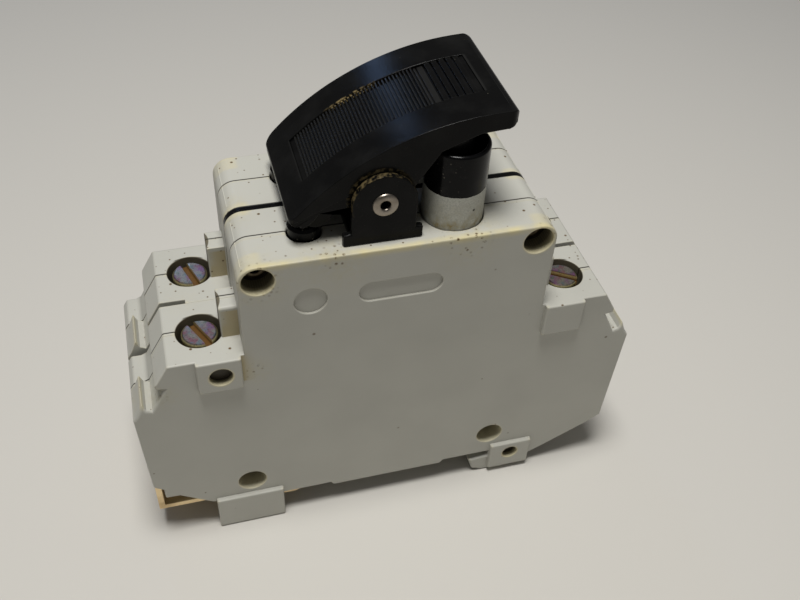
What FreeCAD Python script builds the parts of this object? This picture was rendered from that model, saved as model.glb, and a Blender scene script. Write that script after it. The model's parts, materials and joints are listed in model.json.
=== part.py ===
import FreeCAD, Part
import Sketcher
import math
import os

# Two-pole miniature circuit breaker with push plungers and a common rocker, for a 35 mm rail.
# X runs along the length, Y from the front pole to the back pole, Z up from the feet.
# The origin is at the bottom centre. The rocker rests in its OFF position.

doc = FreeCAD.newDocument("Breaker")
sheet = doc.addObject("Spreadsheet::Sheet", "Sizes")

# Driving dimensions in millimetres and degrees, one named value each
drivers = {
    # pole modules
    "poleWidth": 11.75, "poleGap": 0.75, "wallThick": 1.35,
    # outline of a pole seen from the front
    "blockHalf": 21.75, "blockTop": 54.0, "blockRound": 2.5, "deckTop": 38.8, "deckEnd": 32.0,
    "lipEnd": 34.1, "lipTop": 35.2, "lipDrop": 0.45, "grooveDepth": 1.35, "grooveHigh": 34.45,
    "grooveFoot": 35.0, "grooveLow": 30.2, "toothInner": 35.8, "toothPeak": 36.3, "toothTop": 31.9,
    "toothBase": 30.6, "toothOuter": 37.2, "toothSide": 29.8, "tipReach": 37.85, "tipHigh": 28.8,
    "endReach": 37.3, "endLowLeft": 12.7, "endLowRight": 9.2, "stepReach": 35.9, "stepHigh": 11.6,
    "stepLow": 9.5, "slopeStart": 33.5, "slopeEnd": 28.6, "slopeLow": 6.05, "rightSlopeEnd": 34.6,
    "rightSlopeHigh": 7.35, "rightSlopeMid": 27.1, "rightSlopeLow": 3.15, "footCornerRise": 2.0,
    # feet and the rail pocket between them
    "footOuterLeft": 28.4, "footInnerLeft": 17.8, "footInnerRight": 17.4, "footOuterRight": 24.8,
    "footRound": 1.0, "railSeat": 5.0, "landLow": 4.3, "landLeft": 9.6, "landRight": 8.9,
    "landStep": 0.45, "hookTip": 13.9, "hookTipHigh": 3.4, "hookHeel": 3.85, "hookUnder": 14.75,
    "hookUnderHigh": 0.76, "hookToe": 16.5,
    # proud pads and shallow recesses on the front faces
    "padHeight": 0.75, "padInner": 22.2, "padOuter": 28.4, "padLow": 32.9, "footPadTop": 7.0,
    "padHoleX": 25.15, "padHoleZ": 35.8, "padHoleRadius": 1.95, "footHoleX": 21.0,
    "footHoleZ": 4.6, "footHoleRadius": 1.45, "holeDepth": 1.2, "recessDepth": 0.35,
    "ovalHalf": 4.15, "ovalRadius": 1.7, "ovalZ": 46.8, "roundX": 12.4, "roundRadius": 2.25,
    # rivets that hold the two poles together
    "rivetTopX": 19.1, "rivetTopZ": 51.45, "rivetLeftX": 22.5, "rivetRightX": 16.9,
    "rivetLowZ": 9.95, "rivetRadius": 1.5, "rivetHeadRadius": 1.95, "rivetHeadThick": 0.5,
    "rivetBore": 0.85, "rivetPlay": 0.05, "counterRadius": 2.15, "counterDepth": 1.1,
    "bossRadius": 3.2,
    # terminals
    "terminalX": 27.1, "wellRadius": 3.25, "wellLow": 34.6, "screwHeadRadius": 2.55,
    "screwHeadHigh": 37.3, "screwHeadThick": 1.9, "screwRadius": 1.75, "screwPlay": 0.05,
    "slotWide": 0.7, "slotDeep": 0.9, "barLow": 25.3, "barThick": 1.2, "barWide": 4.4,
    "barEnd": 31.0, "screwTipGap": 0.25, "clampLong": 6.0, "clampWide": 7.8, "clampWall": 1.2,
    "clampTopThick": 2.2, "clampLow": 19.7, "clampHigh": 31.2, "wireWide": 4.8, "wireLow": 20.9,
    "barrierX": 22.0, "barrierThick": 0.9, "barrierGap": 0.6, "postOuter": 24.25, "postHigh": 44.3,
    "postHalfWide": 2.0,
    # plungers
    "onX": 8.3, "onRadius": 4.2, "onRim": 65.5, "onWall": 0.65, "onFloor": 61.5,
    "onFloorThick": 1.5, "onSkirtLow": 50.4, "offX": 10.6, "offRadius": 3.6,
    "offTop": 55.6, "offSkirtLow": 47.0, "offCapThick": 1.5, "plungerPlay": 0.15,
    "stemRadius": 1.4, "ledgeLow": 44.0, "ledgeThick": 1.0, "stemPlay": 0.35, "stemGap": 0.4,
    "springWire": 0.5, "springRadius": 2.5, "springTurns": 5.0, "springGap": 0.05,
    # rocker, its bracket and hollow rivet
    "pivotX": 2.35, "pivotZ": 60.1, "rockerWide": 19.0, "rockerWall": 1.3, "rockerLeft": 14.3,
    "rockerLeftHigh": 58.0, "rockerRight": 14.1, "rockerRightHigh": 71.2, "crownRadius": 37.3,
    "rockerLip": 2.2, "rockerTopThick": 1.7, "rockerLeftLow": 56.6, "skirtRadius": 3.2,
    "skirtLeftX": 8.3, "skirtLeftZ": 59.6, "skirtRightX": 4.9, "skirtRightZ": 66.2,
    "lugRadius": 2.1, "lugShift": 0.5, "lugWide": 2.4, "nosePlay": 0.3, "noseRadius": 1.9,
    "noseWide": 4.4, "panelDepth": 0.5, "panelWide": 9.2, "panelLeft": 11.65, "panelLeftHigh": 60.12,
    "panelRight": 11.3, "panelRightHigh": 70.59,
    "bracketFront": 10.7, "earThick": 1.0, "earRadius": 4.3, "flangeLeft": 7.75, "flangeRight": 2.9,
    "flangeThick": 1.1, "flangeHigh": 1.9, "hollowRadius": 1.2,
    "hollowBore": 0.65, "hollowHead": 1.7, "hollowHeadThick": 0.35,
    "pivotPlay": 0.05,
    # lever mechanism inside each pole
    "crankZ": 41.0, "crankHub": 2.4, "crankTip": 1.2, "crankThick": 3.0, "crankRise": 1.2,
    "crankDrop": 0.3, "crankNoseZ": 34.0, "crankNose": 1.0, "pinRadius": 0.9, "pinPlay": 0.05,
    "pinSink": 0.5, "armX": 6.0, "armZ": 19.0, "armHub": 2.0, "armTopX": 4.9, "armTopZ": 34.2,
    "armTip": 1.0, "armThick": 2.6, "armTravelGap": 3.1, "contactZ": 30.6, "contactRadius": 1.7,
    "contactThick": 1.0, "contactSeat": 1.0, "tripX": 0.9, "tripZ": 35.2,
    "tripHub": 1.6, "tripThick": 1.8, "tripY": 2.0, "tripReach": 17.1, "tripNoseZ": 30.8,
    "tripLowX": 1.6, "tripLowZ": 20.8, "tripBar": 0.75,
    # magnet, bimetal, arc plates and braid
    "coilZ": 22.0, "coilLeft": 4.6, "coilLong": 9.4, "coilRadius": 3.9, "coilBore": 1.75,
    "flangeCoil": 0.6, "coilGroove": 0.5, "yokeThick": 1.1, "yokeWide": 8.0, "yokePlay": 0.05,
    "coreLong": 5.0, "corePin": 0.6, "corePlay": 0.06, "coreGap": 0.5,
    "bimetalThick": 0.8, "bimetalWide": 5.0, "bimetalLow": 15.2,
    "bimetalHigh": 32.4, "loadBarLeft": 19.1, "plateLeft": 21.0, "plateRight": 10.2,
    "plateLow": 13.8, "plateStep": 1.75, "plateThick": 0.8, "plateCount": 5.0, "platePlay": 0.12,
    # rail clip
    "clipTab": 37.3, "clipThick": 0.95, "clipTabHigh": 10.6, "clipLegLow": 4.9, "clipBendX": 21.9,
    "clipTongueLow": 2.6, "clipTip": 14.6, "clipTipRise": 0.55, "clipPlay": 0.15,
    "slotLeft": 27.2, "slotStep": 19.3, "clipSpringWire": 0.3,
    "clipSpringRadius": 0.75, "clipSpringTurns": 5.0,
}
for row, (alias, number) in enumerate(drivers.items(), 1):
    sheet.set(f"A{row}", alias)
    sheet.set(f"B{row}", str(number))
    sheet.setAlias(f"B{row}", alias)
doc.recompute()


class Size:
    """A number together with the spreadsheet expression that it comes from."""

    def __init__(self, text, value):
        self.text = text
        self.value = value

    def combine(self, other, sign, value):
        text = other.text if isinstance(other, Size) else repr(float(other))
        return Size(f"({self.text} {sign} {text})", value)

    def __add__(self, other):
        return self.combine(other, "+", self.value + plain(other))

    def __sub__(self, other):
        return self.combine(other, "-", self.value - plain(other))

    def __mul__(self, other):
        return self.combine(other, "*", self.value * plain(other))

    def __truediv__(self, other):
        return self.combine(other, "/", self.value / plain(other))

    def __rsub__(self, other):
        return -self + other

    def __neg__(self):
        return Size(f"(0 - {self.text})", -self.value)

    __radd__ = __add__
    __rmul__ = __mul__


def plain(size):
    return size.value if isinstance(size, Size) else float(size)


class Sizes:
    """All driving dimensions as attributes."""


s = Sizes()
for alias, number in drivers.items():
    setattr(s, alias, Size(f"Sizes.{alias}", number))

nodes = []


def bind(feature, prop, size):
    """Set a property and keep it tied to the spreadsheet."""
    if isinstance(size, Size):
        feature.setExpression(prop, size.text)
    elif "." not in prop:
        setattr(feature, prop, size)


def sketch(body, role, offset, loops):
    """Draw closed loops on one origin plane; a loop is a circle or a list of corners."""
    sk = body.newObject("Sketcher::SketchObject", body.Name + "Sketch")
    plane = [f for f in body.Origin.OriginFeatures if f.Role == role][0]
    sk.AttachmentSupport = [(plane, "")]
    sk.MapMode = "FlatFace"
    turn = -1 if role == "XZ_Plane" else 1
    start = FreeCAD.Vector(0, 0, turn * plain(offset))
    sk.AttachmentOffset = FreeCAD.Placement(start, FreeCAD.Rotation())
    if isinstance(offset, Size):
        sk.setExpression("AttachmentOffset.Base.z", (offset * turn).text)
    for loop in loops:
        if isinstance(loop, list):
            drawCorners(sk, loop)
        else:
            drawCircle(sk, *loop)
    return sk


def fixPoint(sk, geo, pos, point):
    for kind, size in zip(("DistanceX", "DistanceY"), point[:2]):
        number = sk.addConstraint(Sketcher.Constraint(kind, -1, 1, geo, pos, plain(size)))
        if isinstance(size, Size):
            sk.setExpression(f"Constraints[{number}]", size.text)


def drawCircle(sk, x, y, radius):
    centre = FreeCAD.Vector(plain(x), plain(y), 0)
    geo = sk.addGeometry(Part.Circle(centre, FreeCAD.Vector(0, 0, 1), plain(radius)))
    fixPoint(sk, geo, 3, (x, y))
    number = sk.addConstraint(Sketcher.Constraint("Radius", geo, plain(radius)))
    if isinstance(radius, Size):
        sk.setExpression(f"Constraints[{number}]", radius.text)


def drawCorners(sk, loop):
    """Corners are (x, y) or (x, y, r): then an arc of radius r runs to the next corner."""
    points = [FreeCAD.Vector(plain(p[0]), plain(p[1]), 0) for p in loop]
    first = None
    for index, corner in enumerate(loop):
        start = points[index]
        end = points[(index + 1) % len(loop)]
        if len(corner) > 2:
            geo, startPos = drawArc(sk, start, end, corner[2])
        else:
            geo = sk.addGeometry(Part.LineSegment(start, end))
            startPos = 1
        fixPoint(sk, geo, startPos, corner)
        if first is None:
            first = (geo, startPos)
        else:
            sk.addConstraint(Sketcher.Constraint("Coincident", last[0], last[1], geo, startPos))
        last = (geo, 3 - startPos)
    sk.addConstraint(Sketcher.Constraint("Coincident", last[0], last[1], first[0], first[1]))


def drawArc(sk, start, end, radius):
    """Short arc; a positive radius turns left on the way from start to end."""
    number = plain(radius)
    chord = end - start
    side = FreeCAD.Vector(-chord.y, chord.x, 0) * (1 / chord.Length)
    depth = math.sqrt(max(number * number - chord.Length ** 2 / 4, 0))
    centre = (start + end) * 0.5 + side * math.copysign(depth, number)
    middle = centre - side * number
    geo = sk.addGeometry(Part.Arc(start, middle, end))
    row = sk.addConstraint(Sketcher.Constraint("Radius", geo, abs(number)))
    if isinstance(radius, Size):
        sk.setExpression(f"Constraints[{row}]", (radius if number > 0 else -radius).text)
    return geo, 1 if number > 0 else 2


def extrude(body, kind, role, loops, start, length):
    """Pad or pocket that runs from start, along the plane's world axis, over length."""
    sk = sketch(body, role, start, loops)
    feature = body.newObject("PartDesign::" + kind, body.Name + kind)
    feature.Profile = sk
    feature.Reversed = (kind == "Pad") == (role == "XZ_Plane")
    feature.Length = plain(length)
    bind(feature, "Length", length)
    return feature


def pad(body, role, loops, start, length):
    return extrude(body, "Pad", role, loops, start, length)


def cut(body, role, loops, start, length):
    return extrude(body, "Pocket", role, loops, start, length)


def revolve(body, kind, role, loop):
    """Revolution or groove about the plane's vertical axis; corners are (radius, height)."""
    sk = sketch(body, role, 0, [loop])
    feature = body.newObject("PartDesign::" + kind, body.Name + kind)
    feature.Profile = sk
    feature.ReferenceAxis = (sk, ["V_Axis"])
    feature.Angle = 360
    return feature


def newBody(label, x=0, y=0, z=0, kept=True, turn=0):
    body = doc.addObject("PartDesign::Body", "Body_" + label)
    body.Label = label
    turned = FreeCAD.Rotation(FreeCAD.Vector(0, 0, 1), turn)
    body.Placement = FreeCAD.Placement(FreeCAD.Vector(plain(x), plain(y), plain(z)), turned)
    for axis, size in (("x", x), ("y", y), ("z", z)):
        bind(body, "Placement.Base." + axis, size)
    if kept:
        nodes.append(body)
    return body


def block(x0, x1, z0, z1):
    return [(x0, z0), (x1, z0), (x1, z1), (x0, z1)]


def link(x0, z0, r0, x1, z1, r1):
    """Straight-sided bar between two round ends, as three loops that overlap."""
    dx, dz = plain(x1) - plain(x0), plain(z1) - plain(z0)
    span = math.hypot(dx, dz)
    lean = math.asin((plain(r0) - plain(r1)) / span)
    heading = math.atan2(dz, dx)
    corners = []
    for sign, x, z, r in ((1, x0, z0, r0), (1, x1, z1, r1), (-1, x1, z1, r1), (-1, x0, z0, r0)):
        angle = heading + sign * (math.pi / 2 - lean)
        corners.append((x + r * math.cos(angle), z + r * math.sin(angle)))
    return corners


half = s.poleWidth / 2

poleY = {"front": -s.poleWidth, "back": s.poleGap * 1}


def poleOutline(tooth):
    """Outer outline of a pole, clockwise from the tip on the left."""
    shoulder = [(-s.tipReach, s.tipHigh)]
    if tooth:
        shoulder += [(-s.toothOuter, s.toothSide), (-s.toothPeak, s.toothTop), (-s.toothInner, s.toothBase)]
    else:
        shoulder += [(-s.toothOuter, s.toothSide), (-s.toothInner, s.toothSide)]
    shoulder += [
        (-s.grooveFoot, s.grooveLow),
        (-(s.lipEnd - s.grooveDepth), s.grooveHigh),
        (-s.lipEnd, s.lipTop - s.lipDrop),
        (-s.lipEnd, s.lipTop),
        (-s.deckEnd, s.deckTop),
        (-s.blockHalf, s.deckTop),
        (-s.blockHalf, s.blockTop - s.blockRound, -s.blockRound),
        (-(s.blockHalf - s.blockRound), s.blockTop),
    ]
    right = [(-p[0], p[1]) for p in reversed(shoulder)]
    right[0] = (right[0][0], right[0][1], -s.blockRound)
    under = [
        (s.endReach, s.endLowRight), (s.rightSlopeEnd, s.rightSlopeHigh),
        (s.rightSlopeMid, s.rightSlopeLow), (s.footOuterRight, s.footCornerRise),
        (s.footOuterRight, s.footRound, -s.footRound), (s.footOuterRight - s.footRound, 0),
        (s.hookToe, 0), (s.hookUnder, s.hookUnderHigh), (s.hookTip, s.hookTipHigh),
        (s.footInnerRight, s.hookHeel), (s.footInnerRight, s.railSeat),
        (s.landRight + s.landStep, s.railSeat), (s.landRight, s.landLow),
        (-s.landLeft, s.landLow), (-(s.landLeft + s.landStep), s.railSeat),
        (-s.footInnerLeft, s.railSeat), (-s.footInnerLeft, 0), (-s.footOuterLeft, 0),
        (-s.footOuterLeft, s.slopeLow), (-s.slopeEnd, s.slopeLow), (-s.slopeStart, s.stepLow),
        (-s.stepReach, s.stepLow), (-s.stepReach, s.stepHigh), (-s.endReach, s.endLowLeft),
    ]
    return shoulder + right + under


def cavityOutline():
    """Hollow inside a pole, one wall inside the outline."""
    w = s.wallThick
    left = [
        (-(s.stepReach - w), s.stepHigh + w), (-(s.endReach - w), s.endLowLeft + w),
        (-(s.tipReach - w), s.tipHigh - w), (-(s.grooveFoot - w), s.grooveLow - w),
        (-(s.lipEnd - s.grooveDepth - w), s.grooveHigh - w),
        (-(s.deckEnd - w), s.deckTop - w), (-(s.blockHalf - w), s.deckTop - w),
        (-(s.blockHalf - w), s.blockTop - w),
    ]
    right = [(-p[0], p[1]) for p in reversed(left[2:])]
    under = [
        (s.endReach - w, s.endLowRight + w), (s.rightSlopeEnd - w, s.rightSlopeHigh + w * 1.2),
        (s.footOuterRight, s.railSeat + w * 1.2), (-s.footInnerLeft, s.railSeat + w),
        (-s.slopeEnd + w, s.slopeLow + w), (-s.slopeStart + w * 0.4, s.stepLow + w),
        (-(s.stepReach - w), s.stepLow + w),
    ]
    return left + right + under


def rivetPlaces():
    return [(-s.rivetTopX, s.rivetTopZ), (s.rivetTopX, s.rivetTopZ),
            (-s.rivetLeftX, s.rivetLowZ), (s.rivetRightX, s.rivetLowZ)]


def pinPlaces():
    return [(-s.pivotX, s.crankZ), (-s.armX, s.armZ), (s.tripX, s.tripZ)]


def shell(label, pole, near):
    """One half-shell of a pole; the near one carries the pads and the recesses."""
    body = newBody(label, y=poleY[pole])
    w = s.wallThick
    start = 0 if near else half
    inner = w if near else half
    depth = half - w
    pad(body, "XZ_Plane", [poleOutline(near)], start, half)
    cut(body, "XZ_Plane", [cavityOutline()], inner, depth)
    # blocks that take the rivets, the screw wells, the spring ledge and the barrier walls
    corner = s.blockHalf - w * 0.5
    bossTop = s.blockTop - w * 0.5
    bossIn = s.rivetTopX - s.bossRadius
    inside = [
        block(-corner, -bossIn, s.rivetTopZ - s.bossRadius, bossTop),
        block(bossIn, corner, s.rivetTopZ - s.bossRadius, bossTop),
        (-s.rivetLeftX, s.rivetLowZ, s.bossRadius), (s.rivetRightX, s.rivetLowZ, s.bossRadius),
        block(s.onX - s.onRadius, s.onX + s.onRadius, s.ledgeLow, s.ledgeLow + s.ledgeThick),
    ]
    wellTop = s.deckTop - w * 0.5
    wellIn = s.terminalX - s.wellRadius - w * 0.6
    wellOut = s.terminalX + s.wellRadius + w * 0.4
    outerX = s.barrierX + s.barrierThick
    for sign in (-1, 1):
        inside.append(block(sign * wellIn, sign * wellOut, s.wellLow, wellTop))
        inside.append(block(sign * s.barrierX, sign * outerX,
                            s.rivetLowZ + s.bossRadius + w, s.barLow - s.barrierGap))
        inside.append(block(sign * s.barrierX, sign * outerX,
                            s.barLow + s.barThick + s.barrierGap, s.deckTop - w * 0.5))
    pad(body, "XZ_Plane", inside, inner, depth)
    # upright posts beside the block, one at each terminal
    posts = [block(sign * (s.blockHalf - w * 0.5), sign * s.postOuter, s.deckTop - w * 0.5, s.postHigh)
             for sign in (-1, 1)]
    pad(body, "XZ_Plane", posts, half - s.postHalfWide if near else half, s.postHalfWide)
    # rivet holes with counterbores, and blind holes for the lever pins
    cut(body, "XZ_Plane", [(x, z, s.rivetRadius + s.rivetPlay) for x, z in rivetPlaces()], start, half)
    boreStart = 0 if near else s.poleWidth - s.counterDepth
    cut(body, "XZ_Plane", [(x, z, s.counterRadius) for x, z in rivetPlaces()], boreStart, s.counterDepth)
    pinStart = w - s.pinSink if near else half
    cut(body, "XZ_Plane", [(x, z, s.pinRadius + s.pinPlay) for x, z in pinPlaces()],
        pinStart, half - w + s.pinSink)
    # holes from above: screw wells, plungers and the stem through the ledge
    cut(body, "XY_Plane", [(-s.terminalX, half, s.wellRadius), (s.terminalX, half, s.wellRadius)],
        s.wellLow - 1, s.deckTop - s.wellLow + 2)
    cut(body, "XY_Plane", [(s.onX, half, s.onRadius + s.plungerPlay),
                           (-s.offX, half, s.offRadius + s.plungerPlay)],
        s.blockTop - w - 1, w + 2)
    cut(body, "XY_Plane", [(s.onX, half, s.stemRadius + s.stemPlay)], s.ledgeLow - 1, s.ledgeThick + 2)
    # wire entries through both end walls
    wire = [block(half - s.wireWide / 2, half + s.wireWide / 2, s.wireLow, s.barLow)]
    cut(body, "YZ_Plane", wire, -s.tipReach - 1, s.tipReach - s.terminalX + 1)
    cut(body, "YZ_Plane", wire, s.terminalX, s.tipReach - s.terminalX + 1)
    # guide slot for the rail clip through the left foot
    legTop = s.clipLegLow + s.clipThick + s.clipPlay
    tongueTop = s.clipTongueLow + s.clipThick + s.clipTipRise + s.clipPlay
    guide = [
        (-s.footOuterLeft - 1, s.clipLegLow - s.clipPlay), (-s.slotLeft, s.clipLegLow - s.clipPlay),
        (-s.slotLeft, s.clipTongueLow - s.clipPlay),
        (-s.footInnerLeft + 1, s.clipTongueLow - s.clipPlay),
        (-s.footInnerLeft + 1, tongueTop), (-s.slotStep, tongueTop), (-s.slotStep, legTop),
        (-s.footOuterLeft - 1, legTop),
    ]
    cut(body, "XZ_Plane", [guide], inner, depth)
    if near:
        footPad = s.footOuterRight - s.footRound * 0.2
        pads = [
            block(-s.padOuter, -s.padInner, s.padLow, s.deckTop),
            block(s.padInner, s.padOuter, s.padLow, s.deckTop),
            block(-s.footOuterLeft, -s.footInnerLeft, 0, s.footPadTop),
            block(s.footInnerRight, footPad, s.footRound, s.footPadTop),
        ]
        pad(body, "XZ_Plane", pads, -s.padHeight, s.padHeight)
        cut(body, "XZ_Plane", [(-s.padHoleX, s.padHoleZ, s.padHoleRadius),
                               (s.footHoleX, s.footHoleZ, s.footHoleRadius)],
            -s.padHeight, s.holeDepth)
        ovalLoop = [
            (-s.ovalHalf, s.ovalZ - s.ovalRadius), (s.ovalHalf, s.ovalZ - s.ovalRadius, s.ovalRadius),
            (s.ovalHalf + s.ovalRadius, s.ovalZ, s.ovalRadius), (s.ovalHalf, s.ovalZ + s.ovalRadius),
            (-s.ovalHalf, s.ovalZ + s.ovalRadius, s.ovalRadius),
            (-s.ovalHalf - s.ovalRadius, s.ovalZ, s.ovalRadius),
        ]
        cut(body, "XZ_Plane", [ovalLoop, (-s.roundX, s.ovalZ, s.roundRadius)], 0, s.recessDepth)
    return body


def spacer():
    """Dark plate between the two poles."""
    body = newBody("spacer_plate")
    low = s.deckTop + s.padHeight
    loop = [
        (-s.blockHalf, low), (s.blockHalf, low),
        (s.blockHalf, s.blockTop - s.blockRound, s.blockRound), (s.blockHalf - s.blockRound, s.blockTop),
        (-(s.blockHalf - s.blockRound), s.blockTop, s.blockRound),
        (-s.blockHalf, s.blockTop - s.blockRound),
    ]
    pad(body, "XZ_Plane", [loop], 0, s.poleGap)
    top = rivetPlaces()[:2]
    cut(body, "XZ_Plane", [(x, z, s.rivetRadius + s.rivetPlay) for x, z in top], 0, s.poleGap)


def group(label, members):
    """Several separate solids of one kind in one node."""
    compound = doc.addObject("Part::Compound", "Group_" + label)
    compound.Links = members
    compound.Label = label
    nodes.append(compound)
    return compound


def housingRivets():
    """Tubular rivets through both poles, with a rolled head in each counterbore."""
    long = s.poleWidth * 2 + s.poleGap
    seat = s.counterDepth
    members = []
    for number, (x, z) in enumerate(rivetPlaces()):
        body = newBody(f"rivet_{number}", x, -s.poleWidth, z, kept=False)
        r, head, thick, bore = s.rivetRadius, s.rivetHeadRadius, s.rivetHeadThick, s.rivetBore
        profile = [
            (bore, seat - thick * 0.6), (head * 0.75, seat - thick), (head, seat - thick * 0.5),
            (head, seat), (r, seat), (r, long - seat), (head, long - seat),
            (head, long - seat + thick * 0.5), (head * 0.75, long - seat + thick),
            (bore, long - seat + thick * 0.6),
        ]
        revolve(body, "Revolution", "XY_Plane", profile)
        members.append(body)
    group("housing_rivets", members)


def terminalScrew(label, pole, side, turn):
    """Pan head screw with a straight slot; its tip bears on the busbar."""
    body = newBody(label, s.terminalX * side, half + poleY[pole], 0, turn=turn)
    top, r = s.screwHeadHigh, s.screwHeadRadius
    seat = top - s.screwHeadThick
    tip = s.barLow + s.barThick + s.screwTipGap
    dome = s.screwHeadThick * 0.35
    profile = [(0, tip), (s.screwRadius * 0.7, tip), (s.screwRadius, tip + s.screwRadius * 0.5),
               (s.screwRadius, seat), (r, seat), (r, top - dome), (r * 0.85, top - dome * 0.3),
               (r * 0.5, top), (0, top)]
    revolve(body, "Revolution", "XZ_Plane", profile)
    slot = [block(-r * 1.2, r * 1.2, -s.slotWide / 2, s.slotWide / 2)]
    cut(body, "XY_Plane", slot, top - s.slotDeep, s.slotDeep * 2)


def wireClamp(label, pole, side):
    """Cage that the screw pulls up, so that the wire is pressed against the busbar."""
    body = newBody(label, s.terminalX * side, half + poleY[pole], 0)
    a, b, w = s.clampLong / 2, s.clampWide / 2, s.clampWall
    low, high = s.clampLow, s.clampHigh
    window = block(-(b - w), b - w, low + w, high - s.clampTopThick)
    pad(body, "YZ_Plane", [block(-b, b, low, high), window], -a, s.clampLong)
    cut(body, "XY_Plane", [(0, 0, s.screwRadius + s.screwPlay)], high - s.clampTopThick - 1,
        s.clampTopThick + 2)


def lineBar(label, pole):
    """Left busbar: a flat tongue in the terminal that turns up to carry the fixed contact."""
    body = newBody(label, 0, half + poleY[pole], 0)
    face = contactFace()
    back = face + s.contactThick
    loop = [
        (-s.barEnd, s.barLow), (-back, s.barLow), (-back, s.contactZ + s.contactRadius),
        (-back - s.barThick, s.contactZ + s.contactRadius), (-back - s.barThick, s.barLow + s.barThick),
        (-s.barEnd, s.barLow + s.barThick),
    ]
    pad(body, "XZ_Plane", [loop], -s.barWide / 2, s.barWide)


def contactFace():
    """Distance of the fixed contact's face to the left of the middle."""
    return s.armX + s.contactSeat + s.contactThick + s.armTravelGap


def fixedContact(label, pole):
    body = newBody(label, 0, half + poleY[pole], 0)
    pad(body, "YZ_Plane", [(0, s.contactZ, s.contactRadius)], -contactFace() - s.contactThick,
        s.contactThick)


def loadBar(label, pole):
    """Right busbar: from the terminal inwards and down to the foot of the bimetal."""
    body = newBody(label, 0, half + poleY[pole], 0)
    t = s.barThick
    loop = [
        (s.barEnd, s.barLow), (s.barEnd, s.barLow + t), (s.loadBarLeft + t, s.barLow + t),
        (s.loadBarLeft + t, s.bimetalLow + t), (s.loadBarLeft, s.bimetalLow + t),
        (s.loadBarLeft, s.bimetalLow - t), (s.loadBarLeft + t * 2, s.bimetalLow - t),
        (s.loadBarLeft + t * 2, s.barLow),
    ]
    pad(body, "XZ_Plane", [loop], -s.barWide / 2, s.barWide)


def bimetal(label, pole):
    body = newBody(label, 0, half + poleY[pole], 0)
    pad(body, "XZ_Plane", [block(s.loadBarLeft - s.bimetalThick, s.loadBarLeft,
                                 s.bimetalLow - s.barThick, s.bimetalHigh)],
        -s.bimetalWide / 2, s.bimetalWide)


def onPlunger(label, pole):
    """ON button: a tube with a hollow top for the rocker's lug, a skirt and a stem."""
    body = newBody(label, s.onX, half + poleY[pole], 0)
    r, inner, floor = s.onRadius, s.onRadius - s.onWall, s.onFloor
    under = floor - s.onFloorThick
    foot = s.crankZ + s.crankRise + s.crankTip + s.stemGap
    profile = [
        (0, foot), (s.stemRadius * 0.4, foot), (s.stemRadius, foot + s.stemRadius),
        (s.stemRadius, under), (inner, under), (inner, s.onSkirtLow),
        (r, s.onSkirtLow), (r, s.onRim - s.onWall * 0.4), (r - s.onWall * 0.3, s.onRim),
        (inner + s.onWall * 0.2, s.onRim), (inner, s.onRim - s.onWall * 0.4), (inner, floor), (0, floor),
    ]
    revolve(body, "Revolution", "XZ_Plane", profile)


def offPlunger(label, pole):
    """OFF button: a closed cap with a skirt and a stem."""
    body = newBody(label, -s.offX, half + poleY[pole], 0)
    r, inner, top = s.offRadius, s.offRadius - s.onWall, s.offTop
    foot = s.crankZ - s.crankDrop + s.crankTip + s.stemGap
    profile = [
        (0, foot), (s.stemRadius * 0.4, foot), (s.stemRadius, foot + s.stemRadius),
        (s.stemRadius, top - s.offCapThick),
        (inner, top - s.offCapThick), (inner, s.offSkirtLow), (r, s.offSkirtLow),
        (r, top - s.onWall * 0.6), (r - s.onWall * 0.6, top), (0, top),
    ]
    revolve(body, "Revolution", "XZ_Plane", profile)


def coilSpring(label, x, y, z, radius, wire, turns, height, lying=False):
    """Wire wound on a helix about Z, or about X where it lies. Six sides keep its faces few."""
    body = newBody(label, x, y, z)
    if lying:
        spin = FreeCAD.Rotation(FreeCAD.Vector(0, 1, 0), 90)
        body.Placement = FreeCAD.Placement(body.Placement.Base, spin)
    r = wire / 2
    corners = [math.radians(60 * n) for n in range(6)]
    sk = sketch(body, "XZ_Plane", 0, [[(radius + r * math.cos(a), r + r * math.sin(a)) for a in corners]])
    helix = body.newObject("PartDesign::AdditiveHelix", body.Name + "Helix")
    helix.Profile = sk
    helix.ReferenceAxis = (sk, ["V_Axis"])
    helix.Mode = 1
    helix.Pitch = plain((height - wire) / turns)
    helix.Height = plain(height - wire)
    helix.Turns = plain(turns)
    bind(helix, "Height", height - wire)
    bind(helix, "Pitch", (height - wire) / turns)


def lever(label, x, y, z, parts, thick, bore):
    """Flat lever about its own pin: round bosses and tapered bars, then the pin hole."""
    body = newBody(label, x, y, z)
    for loop in parts:
        pad(body, "XZ_Plane", [loop], 0, thick)
    cut(body, "XZ_Plane", [(0, 0, bore)], 0, thick)
    return body


def crank(label, pole):
    """Inner rocker under both stems; its lower nose pushes the contact arm."""
    on = (s.onX + s.pivotX, s.crankRise)
    off = (-(s.offX - s.pivotX), -s.crankDrop)
    low = (0, s.crankNoseZ - s.crankZ)
    parts = [(0, 0, s.crankHub), (*on, s.crankTip), (*off, s.crankTip), (*low, s.crankNose)]
    for end, radius in ((on, s.crankTip), (off, s.crankTip), (low, s.crankNose)):
        parts.append(link(0, 0, s.crankTip * 1.1, *end, radius))
    lever(label, -s.pivotX, half + poleY[pole] - s.crankThick / 2, s.crankZ, parts, s.crankThick,
          s.pinRadius + s.pinPlay)


def contactArm(label, pole):
    """Moving contact arm on its pin, standing open at rest."""
    top = (s.armX - s.armTopX, s.armTopZ - s.armZ)
    parts = [(0, 0, s.armHub), (*top, s.armTip), link(0, 0, s.armHub * 0.8, *top, s.armTip)]
    shelf = s.contactZ - s.armZ
    parts.append(block(-s.contactSeat, top[0], shelf - s.contactRadius, shelf + s.contactRadius))
    lever(label, -s.armX, half + poleY[pole] - s.armThick / 2, s.armZ, parts, s.armThick,
          s.pinRadius + s.pinPlay)


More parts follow.
